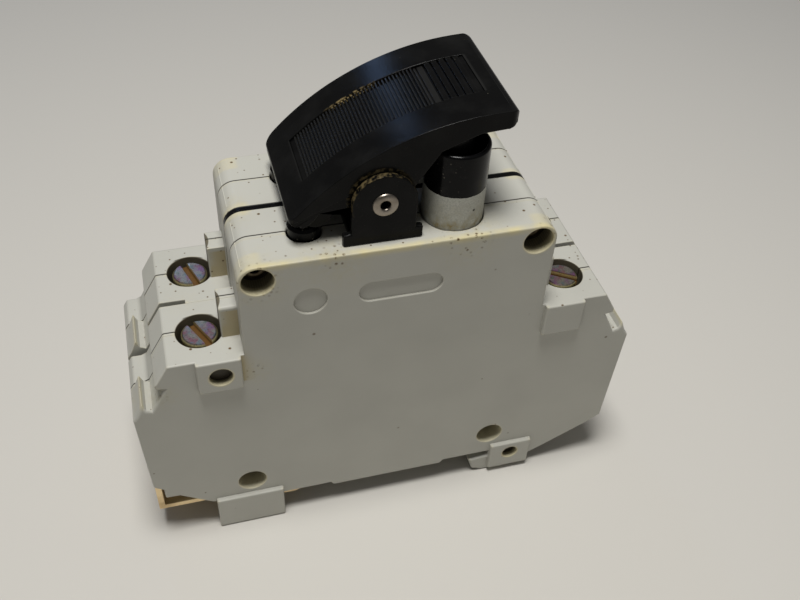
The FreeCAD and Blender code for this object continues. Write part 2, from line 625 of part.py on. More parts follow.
def movingContact(label, pole):
    body = newBody(label, 0, half + poleY[pole], 0)
    pad(body, "YZ_Plane", [(0, s.contactZ, s.contactRadius)],
        -(s.armX + s.contactSeat + s.contactThick), s.contactThick)


def tripLever(label, pole):
    """Trip lever with one arm for the bimetal and one for the magnet's pin."""
    reach = (s.tripReach - s.tripX, 0)
    nose = (s.tripReach - s.tripX, s.tripNoseZ - s.tripZ)
    low = (s.tripLowX - s.tripX, s.tripLowZ - s.tripZ)
    bar = s.tripBar
    parts = [(0, 0, s.tripHub), (*reach, bar), (*nose, bar), (*low, bar)]
    parts.append(link(0, 0, bar * 1.4, *reach, bar))
    parts.append(link(*reach, bar, *nose, bar * 0.999))
    parts.append(link(0, 0, bar * 1.4, *low, bar))
    body = lever(label, s.tripX, poleY[pole] + s.tripY, s.tripZ, parts, s.tripThick,
                 s.pinRadius + s.pinPlay)
    pad(body, "XZ_Plane", [(*low, bar)], 0, half - s.tripY + s.corePin)


def mechanismPins(label, pole):
    """Pins of the crank, the contact arm and the trip lever, between the two half-shells."""
    members = []
    start = s.wallThick - s.pinSink
    for number, (x, z) in enumerate(pinPlaces()):
        pin = doc.addObject("Part::Cylinder", f"Pin_{label}_{number}")
        pin.Placement = FreeCAD.Placement(FreeCAD.Vector(plain(x), plain(poleY[pole] + start), plain(z)),
                                          FreeCAD.Rotation(FreeCAD.Vector(1, 0, 0), -90))
        bind(pin, "Radius", s.pinRadius * 1)
        bind(pin, "Height", s.poleWidth - start * 2)
        for axis, size in (("x", x), ("y", poleY[pole] + start), ("z", z)):
            bind(pin, "Placement.Base." + axis, size)
        members.append(pin)
    group(label, members)


def magnetCoil(label, pole):
    """Fine winding between two flanges, on a hollow bobbin."""
    body = newBody(label, s.coilLeft, half + poleY[pole], s.coilZ)
    r, f, depth, long = s.coilRadius, s.flangeCoil, s.coilGroove, s.coilLong
    profile = [(0, s.coilBore), (0, r), (f, r), (f, r - depth), (long - f, r - depth), (long - f, r),
               (long, r), (long, s.coilBore)]
    sk = sketch(body, "XZ_Plane", 0, [profile])
    turned = body.newObject("PartDesign::Revolution", body.Name + "Turned")
    turned.Profile = sk
    turned.ReferenceAxis = (sk, ["H_Axis"])
    turned.Angle = 360


def magnetYoke(label, pole):
    """U-shaped iron around the coil, with a hole for the core's pin on the left."""
    body = newBody(label, 0, half + poleY[pole], 0)
    t, r, p = s.yokeThick, s.coilRadius, s.yokePlay
    x0, x1 = s.coilLeft - p, s.coilLeft + s.coilLong + p
    low, high = s.coilZ - r, s.coilZ + r + p
    loop = [(x0 - t, low), (x0, low), (x0, high), (x1, high), (x1, low), (x1 + t, low),
            (x1 + t, high + t), (x0 - t, high + t)]
    pad(body, "XZ_Plane", [loop], -s.yokeWide / 2, s.yokeWide)
    cut(body, "YZ_Plane", [(0, s.coilZ, s.corePin * 1.6)], x0 - t - 1, t + 2)


def magnetCore(label, pole):
    """Iron plunger inside the coil, with a pin that reaches through the yoke."""
    body = newBody(label, 0, half + poleY[pole], s.coilZ)
    right = s.coilLeft + s.coilLong - s.coreGap
    tip = s.tripLowX + s.tripBar + s.coreGap
    core = s.coilBore - s.corePlay
    profile = [(tip, 0), (tip, s.corePin), (right - s.coreLong, s.corePin), (right - s.coreLong, core),
               (right, core), (right, 0)]
    sk = sketch(body, "XZ_Plane", 0, [profile])
    turned = body.newObject("PartDesign::Revolution", body.Name + "Turned")
    turned.Profile = sk
    turned.ReferenceAxis = (sk, ["H_Axis"])
    turned.Angle = 360


def arcPlates(label, pole):
    """Stack of notched steel plates below the contacts."""
    body = newBody(label, 0, half + poleY[pole], 0)
    wide = half - s.wallThick - s.platePlay
    notch = (s.plateLeft - s.plateRight) * 0.35
    loop = [(-s.plateLeft, -wide), (-s.plateRight, -wide), (-s.plateRight, -wide * 0.35),
            (-s.plateRight - notch, 0), (-s.plateRight, wide * 0.35), (-s.plateRight, wide),
            (-s.plateLeft, wide)]
    plate = pad(body, "XY_Plane", [loop], s.plateLow, s.plateThick)
    rows = body.newObject("PartDesign::LinearPattern", body.Name + "Rows")
    rows.Originals = [plate]
    axis = [f for f in body.Origin.OriginFeatures if f.Role == "Z_Axis"][0]
    rows.Direction = (axis, [""])
    rows.Length = plain(s.plateStep * (s.plateCount - 1))
    bind(rows, "Length", s.plateStep * (s.plateCount - 1))
    rows.Occurrences = round(plain(s.plateCount))
    body.Tip = rows


def railClip(label, pole):
    """Sprung brass clip: pull tab, leg through the foot, bend and tongue under the rail."""
    w = s.wallThick + s.clipPlay
    body = newBody(label, 0, poleY[pole] + w, 0)
    t, leg, tongue = s.clipThick, s.clipLegLow, s.clipTongueLow
    loop = [
        (-s.clipTab, leg), (-s.clipBendX, leg), (-s.clipBendX, tongue), (-s.clipTip - t, tongue),
        (-s.clipTip, tongue + s.clipTipRise), (-s.clipTip - t, tongue + t),
        (-(s.clipBendX - t), tongue + t), (-(s.clipBendX - t), leg + t), (-(s.clipTab - t), leg + t),
        (-(s.clipTab - t), s.clipTabHigh), (-s.clipTab, s.clipTabHigh),
    ]
    pad(body, "XZ_Plane", [loop], 0, s.poleWidth - w * 2)


def pivotBracket():
    """Black stirrup on top of the poles: base with a flange, and two ears for the rocker."""
    body = newBody("pivot_bracket", 0, s.poleGap / 2, s.blockTop * 1)
    deep, rise = s.bracketFront, s.pivotZ - s.blockTop
    ear = [
        (-s.pivotX - s.earRadius, 0), (-s.pivotX + s.earRadius, 0),
        (-s.pivotX + s.earRadius, rise, s.earRadius), (-s.pivotX, rise + s.earRadius, s.earRadius),
        (-s.pivotX - s.earRadius, rise),
    ]
    pad(body, "XZ_Plane", [ear], -deep, s.earThick)
    pad(body, "XZ_Plane", [ear], deep - s.earThick, s.earThick)
    base = block(-s.pivotX - s.earRadius, -s.pivotX + s.earRadius, 0, s.flangeThick)
    pad(body, "XZ_Plane", [base], -deep, deep * 2)
    for start in (-deep, deep - s.earThick):
        pad(body, "XZ_Plane", [block(-s.flangeLeft, s.flangeRight, 0, s.flangeHigh)], start, s.earThick)
    cut(body, "XZ_Plane", [(-s.pivotX, rise, s.hollowRadius)], -deep - 1, deep * 2 + 2)


def pivotRivet():
    """Hollow rivet through the ears and the rocker."""
    body = newBody("pivot_rivet", -s.pivotX, s.poleGap / 2, s.pivotZ)
    deep, thick = s.bracketFront, s.hollowHeadThick
    profile = [
        (s.hollowBore, -deep - thick), (s.hollowHead * 0.8, -deep - thick),
        (s.hollowHead, -deep - thick * 0.3), (s.hollowHead, -deep), (s.hollowRadius, -deep),
        (s.hollowRadius, deep), (s.hollowHead, deep), (s.hollowHead, deep + thick * 0.3),
        (s.hollowHead * 0.8, deep + thick), (s.hollowBore, deep + thick),
    ]
    revolve(body, "Revolution", "XY_Plane", profile)


def rocker():
    """Curved rocker cap over both poles: crown, two skirts, lugs over the ON buttons and noses."""
    body = newBody("rocker", 0, s.poleGap / 2, 0)
    wide, wall = s.rockerWide, s.rockerWall
    lip = s.rockerLip
    side = [
        (-s.rockerLeft, s.rockerLeftHigh, -s.crownRadius), (s.rockerRight, s.rockerRightHigh),
        (s.rockerRight - lip * 0.1, s.rockerRightHigh - lip),
        (s.rockerRight - lip * 2, s.rockerRightHigh - lip * 1.2),
        (s.skirtRightX, s.skirtRightZ), (-s.pivotX + s.skirtRadius, s.pivotZ, -s.skirtRadius),
        (-s.pivotX, s.pivotZ - s.skirtRadius, -s.skirtRadius), (-s.pivotX - s.skirtRadius, s.pivotZ),
        (-s.skirtLeftX, s.skirtLeftZ), (-s.rockerLeft + lip, s.rockerLeftLow),
        (-s.rockerLeft, s.rockerLeftLow + lip * 0.2),
    ]
    pad(body, "XZ_Plane", [side], -wide / 2, wide)
    thick = s.rockerTopThick
    inner = [
        (-s.rockerLeft + wall, s.rockerLeftHigh - thick, -(s.crownRadius - thick)),
        (s.rockerRight - lip, s.rockerRightHigh - thick - lip * 0.2),
        (s.rockerRight - lip, 0), (-s.rockerLeft + wall, 0),
    ]
    cut(body, "XZ_Plane", [inner], -wide / 2 + wall, wide - wall * 2)
    high = s.rockerRightHigh + s.panelDepth
    panel = [
        (-s.panelLeft, s.panelLeftHigh, -(s.crownRadius - s.panelDepth)), (s.panelRight, s.panelRightHigh),
        (s.panelRight, high), (-s.panelLeft, high),
    ]
    cut(body, "XZ_Plane", [panel], -s.panelWide / 2, s.panelWide)
    poleMiddle = half + s.poleGap / 2
    lugX = s.onX - s.lugShift
    lugLow = s.onFloor + s.nosePlay
    rise = s.rockerRightHigh - lugLow - thick * 2
    for sign in (-1, 1):
        lug = [(lugX - s.lugRadius, lugLow + s.lugRadius, s.lugRadius), (lugX, lugLow, s.lugRadius),
               (lugX + s.lugRadius, lugLow + s.lugRadius), (lugX + s.lugRadius, lugLow + rise),
               (lugX - s.lugRadius, lugLow + rise)]
        pad(body, "XZ_Plane", [lug], poleMiddle * sign - s.lugWide / 2, s.lugWide)
        noseMid = s.offTop + s.nosePlay + s.noseRadius
        left, right = -s.offX - s.noseRadius, -s.offX + s.noseRadius
        nose = [(left, noseMid, s.noseRadius), (-s.offX, noseMid - s.noseRadius, s.noseRadius),
                (right, noseMid), (right, noseMid + s.noseRadius), (left, noseMid + s.noseRadius)]
        pad(body, "XZ_Plane", [nose], poleMiddle * sign - s.noseWide / 2, s.noseWide)
    cut(body, "XZ_Plane", [(-s.pivotX, s.pivotZ, s.hollowRadius + s.pivotPlay)], -wide, wide * 2)


spacer()
housingRivets()
pivotBracket()
pivotRivet()
rocker()
screwTurns = {("front", -1): -64, ("front", 1): -33, ("back", -1): -72, ("back", 1): 20}
for pole in poleY:
    shell(f"{pole}_shell_near", pole, True)
    shell(f"{pole}_shell_far", pole, False)
    onPlunger(f"on_plunger_{pole}", pole)
    offPlunger(f"off_plunger_{pole}", pole)
    seat = s.ledgeLow + s.ledgeThick + s.springGap
    coilSpring(f"on_spring_{pole}", s.onX, half + poleY[pole], seat, s.springRadius, s.springWire,
               s.springTurns, s.onFloor - s.onFloorThick - s.springGap - seat)
    crank(f"crank_lever_{pole}", pole)
    contactArm(f"contact_arm_{pole}", pole)
    movingContact(f"moving_contact_{pole}", pole)
    fixedContact(f"fixed_contact_{pole}", pole)
    lineBar(f"line_bar_{pole}", pole)
    loadBar(f"load_bar_{pole}", pole)
    bimetal(f"bimetal_{pole}", pole)
    magnetCoil(f"magnet_coil_{pole}", pole)
    magnetYoke(f"magnet_yoke_{pole}", pole)
    magnetCore(f"magnet_core_{pole}", pole)
    tripLever(f"trip_lever_{pole}", pole)
    mechanismPins(f"lever_pins_{pole}", pole)
    arcPlates(f"arc_plates_{pole}", pole)
    railClip(f"rail_clip_{pole}", pole)
    clipHeight = s.slotLeft - s.clipBendX - s.springGap * 2
    coilSpring(f"clip_spring_{pole}", -s.slotLeft + s.springGap, half + poleY[pole],
               s.clipTongueLow + s.clipSpringRadius + s.clipSpringWire, s.clipSpringRadius,
               s.clipSpringWire, s.clipSpringTurns, clipHeight, lying=True)
    for side, word in ((-1, "left"), (1, "right")):
        terminalScrew(f"terminal_screw_{pole}_{word}", pole, side, screwTurns[pole, side])
        wireClamp(f"wire_clamp_{pole}_{word}", pole, side)

doc.recompute()
for item in doc.Objects:
    if "Invalid" in item.State or "Error" in item.State:
        raise RuntimeError(f"{item.Name} failed: {item.State}")
    if item.TypeId in ("PartDesign::Pad", "PartDesign::Pocket") and item.BaseFeature:
        change = item.Shape.Volume - item.BaseFeature.Shape.Volume
        if (change > 0) != (item.TypeId == "PartDesign::Pad"):
            raise RuntimeError(f"{item.Name} changes nothing: {change}")
os.makedirs("parts", exist_ok=True)
for node in nodes:
    if node.Shape.isNull() or not node.Shape.isValid():
        raise RuntimeError(f"{node.Label} has no valid shape")
    node.Shape.exportStep(f"parts/{node.Label}.step")
    box = node.Shape.BoundBox
    print(node.Label, len(node.Shape.Solids), f"{node.Shape.Volume:.1f} mm3",
          f"{box.XMin:.2f} {box.XMax:.2f} {box.YMin:.2f} {box.YMax:.2f} {box.ZMin:.2f} {box.ZMax:.2f}")
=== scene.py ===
import json
import math

import bmesh
import bpy
from mathutils import Matrix, Vector
from mathutils.bvhtree import BVHTree

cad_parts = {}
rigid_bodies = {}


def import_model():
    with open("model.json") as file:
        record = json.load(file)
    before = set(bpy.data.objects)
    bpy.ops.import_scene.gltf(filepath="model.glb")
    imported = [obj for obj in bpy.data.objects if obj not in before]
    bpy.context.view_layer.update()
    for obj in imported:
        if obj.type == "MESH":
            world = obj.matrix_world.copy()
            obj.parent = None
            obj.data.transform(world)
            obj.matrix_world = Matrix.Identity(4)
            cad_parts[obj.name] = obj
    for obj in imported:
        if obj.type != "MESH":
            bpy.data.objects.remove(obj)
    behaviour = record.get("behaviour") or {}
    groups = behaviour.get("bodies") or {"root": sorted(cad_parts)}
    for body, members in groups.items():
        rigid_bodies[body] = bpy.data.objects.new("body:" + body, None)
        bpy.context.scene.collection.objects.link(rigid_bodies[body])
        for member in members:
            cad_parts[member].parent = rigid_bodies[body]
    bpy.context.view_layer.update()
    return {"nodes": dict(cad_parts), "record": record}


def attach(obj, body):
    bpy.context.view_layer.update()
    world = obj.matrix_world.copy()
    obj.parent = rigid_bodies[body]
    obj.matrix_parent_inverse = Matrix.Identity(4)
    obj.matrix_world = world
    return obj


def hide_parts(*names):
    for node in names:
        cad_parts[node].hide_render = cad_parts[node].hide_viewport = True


# Two-pole miniature circuit breaker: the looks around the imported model.
# Shapes are worked out in millimetres and turned into metres when they are finished.

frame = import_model()
mm = 0.001
poles = ("front", "back")
layer = bpy.context.scene.collection.objects
print("frame loaded:", len(frame["nodes"]), "nodes")

# Places that several pieces share
poleMiddles = {"front": -5.875, "back": 6.625}
wholeMiddle = 0.375
outerFaces = {"near": -11.75, "far": 12.5}  # of the two poles, without the proud pads
deckTop = 54.0
faceHoles = (  # x, z, radius, its ratio in the photograph, front of the mouth, depth where the painted shade is full
    (-19.1, 51.45, 2.3, 0.92, -11.75, 1.6), (19.1, 51.45, 2.3, 0.92, -11.75, 1.6),
    (-22.5, 9.95, 2.3, 0.88, -11.75, 1.6), (16.9, 9.95, 2.3, 0.88, -11.75, 1.6),
    (-25.15, 35.8, 1.95, 0.83, -12.5, 1.15), (21.0, 4.6, 1.45, 0.9, -12.5, 1.15))
rivetPlaces = [hole[:2] for hole in faceHoles[:4]]
pivotX, pivotZ = -2.35, 60.1
terminalX = 27.1


# Small tools for material trees

def addNode(tree, kind, inputs=None, **settings):
    node = tree.nodes.new(kind)
    for key, value in settings.items():
        setattr(node, key, value)
    for key, value in (inputs or {}).items():
        if isinstance(value, bpy.types.NodeSocket):
            tree.links.new(value, node.inputs[key])
        else:
            node.inputs[key].default_value = value
    return node


def made(tree, kind, inputs=None, **settings):  # a new node's first output
    return addNode(tree, kind, inputs, **settings).outputs[0]


def calc(tree, operation, first, second=0.0):
    return made(tree, "ShaderNodeMath", {0: first, 1: second}, operation=operation, use_clamp=True)


def times(tree, product, *factors):
    for factor in factors:
        product = calc(tree, "MULTIPLY", product, factor)
    return product


def sums(tree, operation, first, second=0.0, third=0.0):
    return made(tree, "ShaderNodeMath", {0: first, 1: second, 2: third}, operation=operation)


def ramp(tree, value, low, high):  # 0 at low, 1 at high, whichever way round they are
    return made(tree, "ShaderNodeMapRange", {"Value": value, "From Min": low, "From Max": high})


def noise(tree, coords, size, low=0.0, high=1.0, detail=4.0):  # size is the width of a patch in mm
    field = made(tree, "ShaderNodeTexNoise", {"Vector": coords, "Scale": 1 / (size * mm), "Detail": detail})
    return ramp(tree, field, low, high)


def specks(tree, coords, size, radius, share):  # round dots of a radius, on a share of the cells of a size
    cells = addNode(tree, "ShaderNodeTexVoronoi", {"Vector": coords, "Scale": 1 / (size * mm)})
    chance = made(tree, "ShaderNodeSeparateColor", {0: cells.outputs["Color"]})
    dot = ramp(tree, cells.outputs["Distance"], radius / size, radius / size * 0.5)
    return times(tree, dot, calc(tree, "LESS_THAN", chance, share))


def distance(tree, coords, point):
    gap = addNode(tree, "ShaderNodeVectorMath", {0: coords, 1: Vector(point) * mm}, operation="DISTANCE")
    return gap.outputs["Value"]


def nearPoint(tree, coords, point, inner, outer):  # 1 within inner mm of the point, 0 past outer mm
    return ramp(tree, distance(tree, coords, point), outer * mm, inner * mm)


def axisValue(tree, coords, axis):
    return addNode(tree, "ShaderNodeSeparateXYZ", {0: coords}).outputs[axis]


def slope(tree, coords, axis, low, high):  # 0 at low mm along the axis, 1 at high mm
    return ramp(tree, axisValue(tree, coords, axis), low * mm, high * mm)


def flattened(tree, coords, along):
    return made(tree, "ShaderNodeVectorMath", {0: coords, 1: along}, operation="MULTIPLY")


def nearPlane(tree, coords, axis, place, inner, outer):  # 1 within inner mm of a plane across the axis
    offset = calc(tree, "ABSOLUTE", sums(tree, "SUBTRACT", axisValue(tree, coords, axis), place * mm))
    return ramp(tree, offset, outer * mm, inner * mm)


def hollows(tree, reach, low, high, inside=False):  # corners, or sharp edges where inside is set
    shade = addNode(tree, "ShaderNodeAmbientOcclusion", {"Distance": reach * mm},
                    samples=8, inside=inside, only_local=True)
    return ramp(tree, calc(tree, "SUBTRACT", 1.0, shade.outputs["AO"]), low, high)


def tone(red, green, blue):  # a screen colour of 0 to 255 as the linear colour that the shader takes
    def linear(level):
        level /= 255
        return level / 12.92 if level <= 0.04045 else ((level + 0.055) / 1.055) ** 2.4
    return (linear(red), linear(green), linear(blue), 1.0)


def mixed(tree, under, over, share):  # each colour is a socket or a screen colour of 0 to 255
    under, over = (colour if isinstance(colour, bpy.types.NodeSocket) else tone(*colour)
                   for colour in (under, over))
    return addNode(tree, "ShaderNodeMix", {0: share, 6: under, 7: over}, data_type="RGBA").outputs[2]


def darker(colour, share):
    return [level * share for level in colour]


def bump(tree, shader, height, depth, strength=0.5):  # depth in mm
    relief = addNode(tree, "ShaderNodeBump", {"Height": height, "Distance": depth * mm, "Strength": strength})
    tree.links.new(relief.outputs[0], shader.inputs["Normal"])


def startMaterial(name, roughness, metallic=0.0, specular=0.5):
    material = bpy.data.materials.new(name)
    material.use_nodes = True
    tree = material.node_tree
    shader = tree.nodes["Principled BSDF"]
    shader.inputs["Roughness"].default_value = roughness
    shader.inputs["Metallic"].default_value = metallic
    shader.inputs["Specular IOR Level"].default_value = specular
    return material, tree, shader, addNode(tree, "ShaderNodeTexCoord").outputs["Object"]


def endMaterial(material, shader, colour):
    material.node_tree.links.new(colour, shader.inputs["Base Color"])
    return material


def between(tree, value, low, high, end=1.0):  # low where the value is 0, high where it reaches the end
    return made(tree, "ShaderNodeMapRange", {"Value": value, "From Max": end, "To Min": low, "To Max": high})


# Materials

housingLook = {
    # cream serves as rubbed wear and as painted highlight; grime as dirt and as painted shade in corners; the
    # well and hole colours are painted shade; the spacer colour also paints shade beside the spacer
    "plastic": (184, 183, 174), "aged": (184, 174, 132), "cream": (206, 196, 156), "grime": (92, 72, 42),
    "gap": (44, 38, 28), "wellShade": (86, 78, 58), "hole": (66, 60, 50), "post": (176, 164, 132),
    "spacer": (24, 24, 24), "gapPlanes": (-5.4, 6.8), "gapHalf": 0.07,
    "wellRadius": 3.27, "postX": -22.25, "postZ": 38.6, "seamLow": 39.5,
    "upwardSpecks": ((1.1, 0.17, 0.4), (2.2, 0.26, 0.4)),  # size of a cell, radius, share of the cells
    "sparseSpecks": ((3.4, 0.2, 0.3), (6.5, 0.3, 0.25)),
    "dirtyPlaces": (  # place, reach of the specks, reach of the yellow tint
        ((-19.1, -11.7, 51.5), 3.6, 5.5), ((-20.6, -10.4, 35.2), 2.2, 3.5), ((-20.8, 2.2, 35.2), 2.2, 3.5),
        ((-20.3, 0.4, 52.5), 2.0, 4.5), ((9.0, -10.6, 54.0), 4.0, 7.0), ((-9.0, -11.4, 53.8), 2.5, 7.0),
        ((20.0, -11.0, 52.0), 2.5, 4.0), ((-36.4, -8.4, 28.0), 2.2, 3.5), ((-33.5, -10.0, 33.0), 2.2, 3.5),
        ((-29.0, 0.4, 35.0), 2.5, 5.0)),
}


def edgeWearAndPaintedLight(tree, coords, colour):  # cream on the edges, rubbed wear and painted highlight; brown in the corners, dirt and painted shade
    look = housingLook
    # the cream on convex edges is rubbed wear and also a painted highlight on the rounded edges
    edges = times(tree, hollows(tree, 0.7, 0.25, 0.75, inside=True), 0.55)
    colour = mixed(tree, colour, look["cream"], edges)
    # a painted cream highlight band along the top front edge of the deck
    paintedTopEdgeHighlight = nearPoint(tree, flattened(tree, coords, (0, 1, 1)), (0, outerFaces["near"], deckTop), 0.3, 1.1)
    colour = mixed(tree, colour, look["cream"], times(tree, paintedTopEdgeHighlight, noise(tree, coords, 2.5, 0.2, 0.6)))
    # brown in the corners, from the occlusion there: dirt and painted shade
    return mixed(tree, colour, look["grime"], times(
        tree, hollows(tree, 1.6, 0.35, 0.9), noise(tree, coords, 1.0, 0.4, 0.65), 0.45))


def stainedPosts(tree, coords, normal, colour):  # the front faces of the posts beside the left screws
    look = housingLook
    posts = times(tree, nearPlane(tree, coords, 0, look["postX"], 1.7, 1.95),
                  ramp(tree, axisValue(tree, normal, 1), -0.8, -0.95),
                  nearPlane(tree, coords, 2, look["postZ"], 4.9, 5.2),
                  hollows(tree, 3.0, 0.02, 0.2))
    colour = mixed(tree, colour, look["post"], posts)
    return mixed(tree, colour, look["grime"], times(tree, posts, specks(tree, coords, 0.8, 0.2, 0.4)))


def paintedWellShade(tree, coords, colour):  # painted shade on the walls round the screws
    for side in (-1, 1):
        for middle in poleMiddles.values():
            # the well walls are painted darker, a painted shade
            wellShade = nearPoint(tree, flattened(tree, coords, (1, 1, 0)), (terminalX * side, middle, 0),
                             housingLook["wellRadius"], housingLook["wellRadius"] + 0.08)
            colour = mixed(tree, colour, housingLook["wellShade"], times(tree, wellShade, 0.9))
    return colour


def dirt(tree, coords, normal, colour):  # thick in a few places, and fine specks, most on what looks up
    look = housingLook
    blots = times(tree, specks(tree, coords, 0.7, 0.26, 0.7), noise(tree, coords, 0.3, 0.3, 0.55))
    soft = noise(tree, coords, 0.8, 0.3, 0.75, 5.0)
    for place, reach, tint in look["dirtyPlaces"]:
        yellow = times(tree, nearPoint(tree, coords, place, 0.5, tint), soft, 0.45)
        colour = mixed(tree, colour, look["aged"], yellow)
        thick = times(tree, nearPoint(tree, coords, place, reach * 0.5, reach), blots)
        colour = mixed(tree, colour, look["grime"], thick)
    upward = ramp(tree, axisValue(tree, normal, 2), 0.4, 0.8)
    for kinds, strength in ((look["upwardSpecks"], upward), (look["sparseSpecks"], 0.7)):
        for size, radius, share in kinds:
            dots = times(tree, specks(tree, coords, size, radius, share), strength)
            colour = mixed(tree, colour, look["grime"], dots)
    return colour


def paintedHoleHighlightAndShade(tree, coords, colour):  # a painted highlight on the rim and upper wall, and painted shade in the depth of each hole of the front face
    look = housingLook
    front = slope(tree, coords, 1, -7.0, -7.6)
    for x, z, radius, ratio, mouth, deep in faceHoles:
        radius *= ratio
        flat = flattened(tree, coords, (1, 0, 1))
        # painted cream highlight round the mouth and on the upper wall of the hole
        rim = times(tree, nearPoint(tree, flat, (x, 0, z), radius + 0.05, radius + 0.35), front, 0.7)
        colour = mixed(tree, colour, look["cream"], rim)
        # painted shade deeper in the hole
        paintedHoleShade = slope(tree, coords, 1, mouth + deep * 0.3, mouth + deep)
        inside = nearPoint(tree, flat, (x, 0, z), radius + 0.02, radius + 0.08)
        colour = mixed(tree, colour, look["hole"], times(tree, paintedHoleShade, inside, front))
    return colour


def spacerShadeAndPartingLines(tree, coords, colour):  # painted shade beside the spacer that widens its black line, and the dark parting lines of the shells
    look = housingLook
    # painted shade on the rounded edges beside the spacer, in the spacer's black
    paintedSpacerShade = times(tree, nearPlane(tree, coords, 1, wholeMiddle, 0.5, 0.56),
                 slope(tree, coords, 2, look["seamLow"], look["seamLow"] + 0.2))
    colour = mixed(tree, colour, look["spacer"], paintedSpacerShade)
    for plane in look["gapPlanes"]:
        line = nearPlane(tree, coords, 1, plane, look["gapHalf"], look["gapHalf"] * 2)
        colour = mixed(tree, colour, look["gap"], line)
    return colour


def housingPlastic():
    material, tree, shader, coords = startMaterial("housingPlastic", 0.48, specular=0.35)
    normal = addNode(tree, "ShaderNodeTexCoord").outputs["Normal"]
    plastic = housingLook["plastic"]
    colour = mixed(tree, plastic, darker(plastic, 0.97), noise(tree, coords, 11.0, 0.4, 0.7))
    colour = edgeWearAndPaintedLight(tree, coords, colour)
    colour = stainedPosts(tree, coords, normal, colour)
    colour = paintedWellShade(tree, coords, colour)
    colour = dirt(tree, coords, normal, colour)
    colour = paintedHoleHighlightAndShade(tree, coords, colour)
    colour = spacerShadeAndPartingLines(tree, coords, colour)
    bump(tree, shader, noise(tree, coords, 0.25, 0.3, 0.7), 0.01)
    return endMaterial(material, shader, colour)


blackLook = {
    "plastic": (10, 10, 10), "worn": (38, 38, 37), "speck": (96, 92, 80), "dust": (132, 116, 80),
    "specks": ((1.3, 0.07, 0.16), (3.0, 0.12, 0.2)),  # size of a cell, radius, share of the cells
    "lineY": 4.95, "lineX": -4.0, "lineLow": 64.5,  # dust along the far side of the ribbed panel
}


def ringDust(tree, coords, patchy, radius, half, share):  # round the bracket's ear, most at its left
    gap = distance(tree, flattened(tree, coords, (1, 0, 1)), (pivotX, 0, pivotZ))
    away = sums(tree, "ABSOLUTE", sums(tree, "SUBTRACT", gap, radius * mm))
    band = ramp(tree, away, half * mm, half * 0.3 * mm)
    upper = slope(tree, coords, 2, 58.5, 62.0)
    left = slope(tree, coords, 0, 2.5, -3.5)
    return times(tree, band, upper, patchy, left, share)


def lineDust(tree, coords, patchy):
    look = blackLook
    line = nearPlane(tree, coords, 1, look["lineY"], 0.1, 0.35)
    high = slope(tree, coords, 2, look["lineLow"], look["lineLow"] + 1.0)
    here = nearPlane(tree, coords, 0, look["lineX"], 1.0, 4.5)
    return times(tree, line, high, here, patchy)


def blackPlastic(name, roughness, worn, ring, dustLine=False):
    look = blackLook
    material, tree, shader, coords = startMaterial(name, roughness, specular=0.1)
    film = times(tree, noise(tree, coords, 3.5, 0.45, 0.8, 6.0), worn)
    colour = mixed(tree, look["plastic"], look["worn"], film)
    rubbed = times(tree, hollows(tree, 0.5, 0.3, 0.8, inside=True), 0.6)
    colour = mixed(tree, colour, look["worn"], rubbed)
    for size, radius, share in look["specks"]:
        colour = mixed(tree, colour, look["speck"], specks(tree, coords, size, radius, share))
    patchy = noise(tree, coords, 0.55, 0.42, 0.62, 6.0)
    colour = mixed(tree, colour, look["dust"], ringDust(tree, coords, patchy, *ring))
    if dustLine:
        colour = mixed(tree, colour, look["dust"], lineDust(tree, coords, patchy))
    bump(tree, shader, noise(tree, coords, 0.3, 0.3, 0.7), 0.008)
    return endMaterial(material, shader, colour)


buttonLook = {
    "plastic": (9, 9, 10), "worn": (48, 47, 44), "speck": (104, 100, 90), "paint": (190, 190, 180),
    "stain": (140, 122, 70), "bandTop": 59.1, "stainTop": 58.5, "stainLow": 54.0,
}


def paintedBand(tree, coords, shader, colour):  # a white band with a wavy edge, chips, and stains low down
    look = buttonLook
    height = axisValue(tree, coords, 2)
    edge = sums(tree, "MULTIPLY_ADD", noise(tree, coords, 0.7), 0.25 * mm, look["bandTop"] * mm)
    paint = calc(tree, "GREATER_THAN", sums(tree, "SUBTRACT", edge, height), 0.0)
    chips = calc(tree, "SUBTRACT", paint, specks(tree, coords, 2.4, 0.28, 0.22))
    stain = times(tree, noise(tree, coords, 1.2, 0.4, 0.7, 6.0),
                  ramp(tree, height, look["stainTop"] * mm, look["stainLow"] * mm))
    aged = mixed(tree, look["paint"], look["stain"], stain)
    aged = mixed(tree, aged, darker(look["paint"], 0.86), noise(tree, coords, 0.18, 0.4, 0.7))
    tree.links.new(between(tree, chips, 0.2, 0.5), shader.inputs["Roughness"])
    return mixed(tree, colour, aged, chips)


def buttonPlastic(name, banded):
    look = buttonLook
    material, tree, shader, coords = startMaterial(name, 0.2, specular=0.12)
    film = times(tree, noise(tree, coords, 2.0, 0.55, 0.75, 6.0), 0.3)
    colour = mixed(tree, look["plastic"], look["worn"], film)
    flecks = times(tree, specks(tree, coords, 0.6, 0.13, 0.35),
                   slope(tree, coords, 0, 8.0, 5.0))
    colour = mixed(tree, colour, look["speck"], flecks)
    if banded:
        colour = paintedBand(tree, coords, shader, colour)
    return endMaterial(material, shader, colour)


screwLook = {
    # side is a painted highlight on the side of the head; grime is also painted shade in the corners
    "plate": (206, 198, 184), "slot": (112, 80, 40), "side": (220, 208, 150), "grime": (70, 52, 28),
    "top": 38.5, "slotLow": 37.55,
    "tints": (  # shade, size of a patch, and the band of the noise where it comes in
        ((198, 148, 188), 1.5, 0.45, 0.62), ((164, 186, 190), 1.2, 0.52, 0.68),
        ((206, 150, 156), 1.0, 0.54, 0.68), ((150, 172, 150), 0.9, 0.6, 0.72)),
}


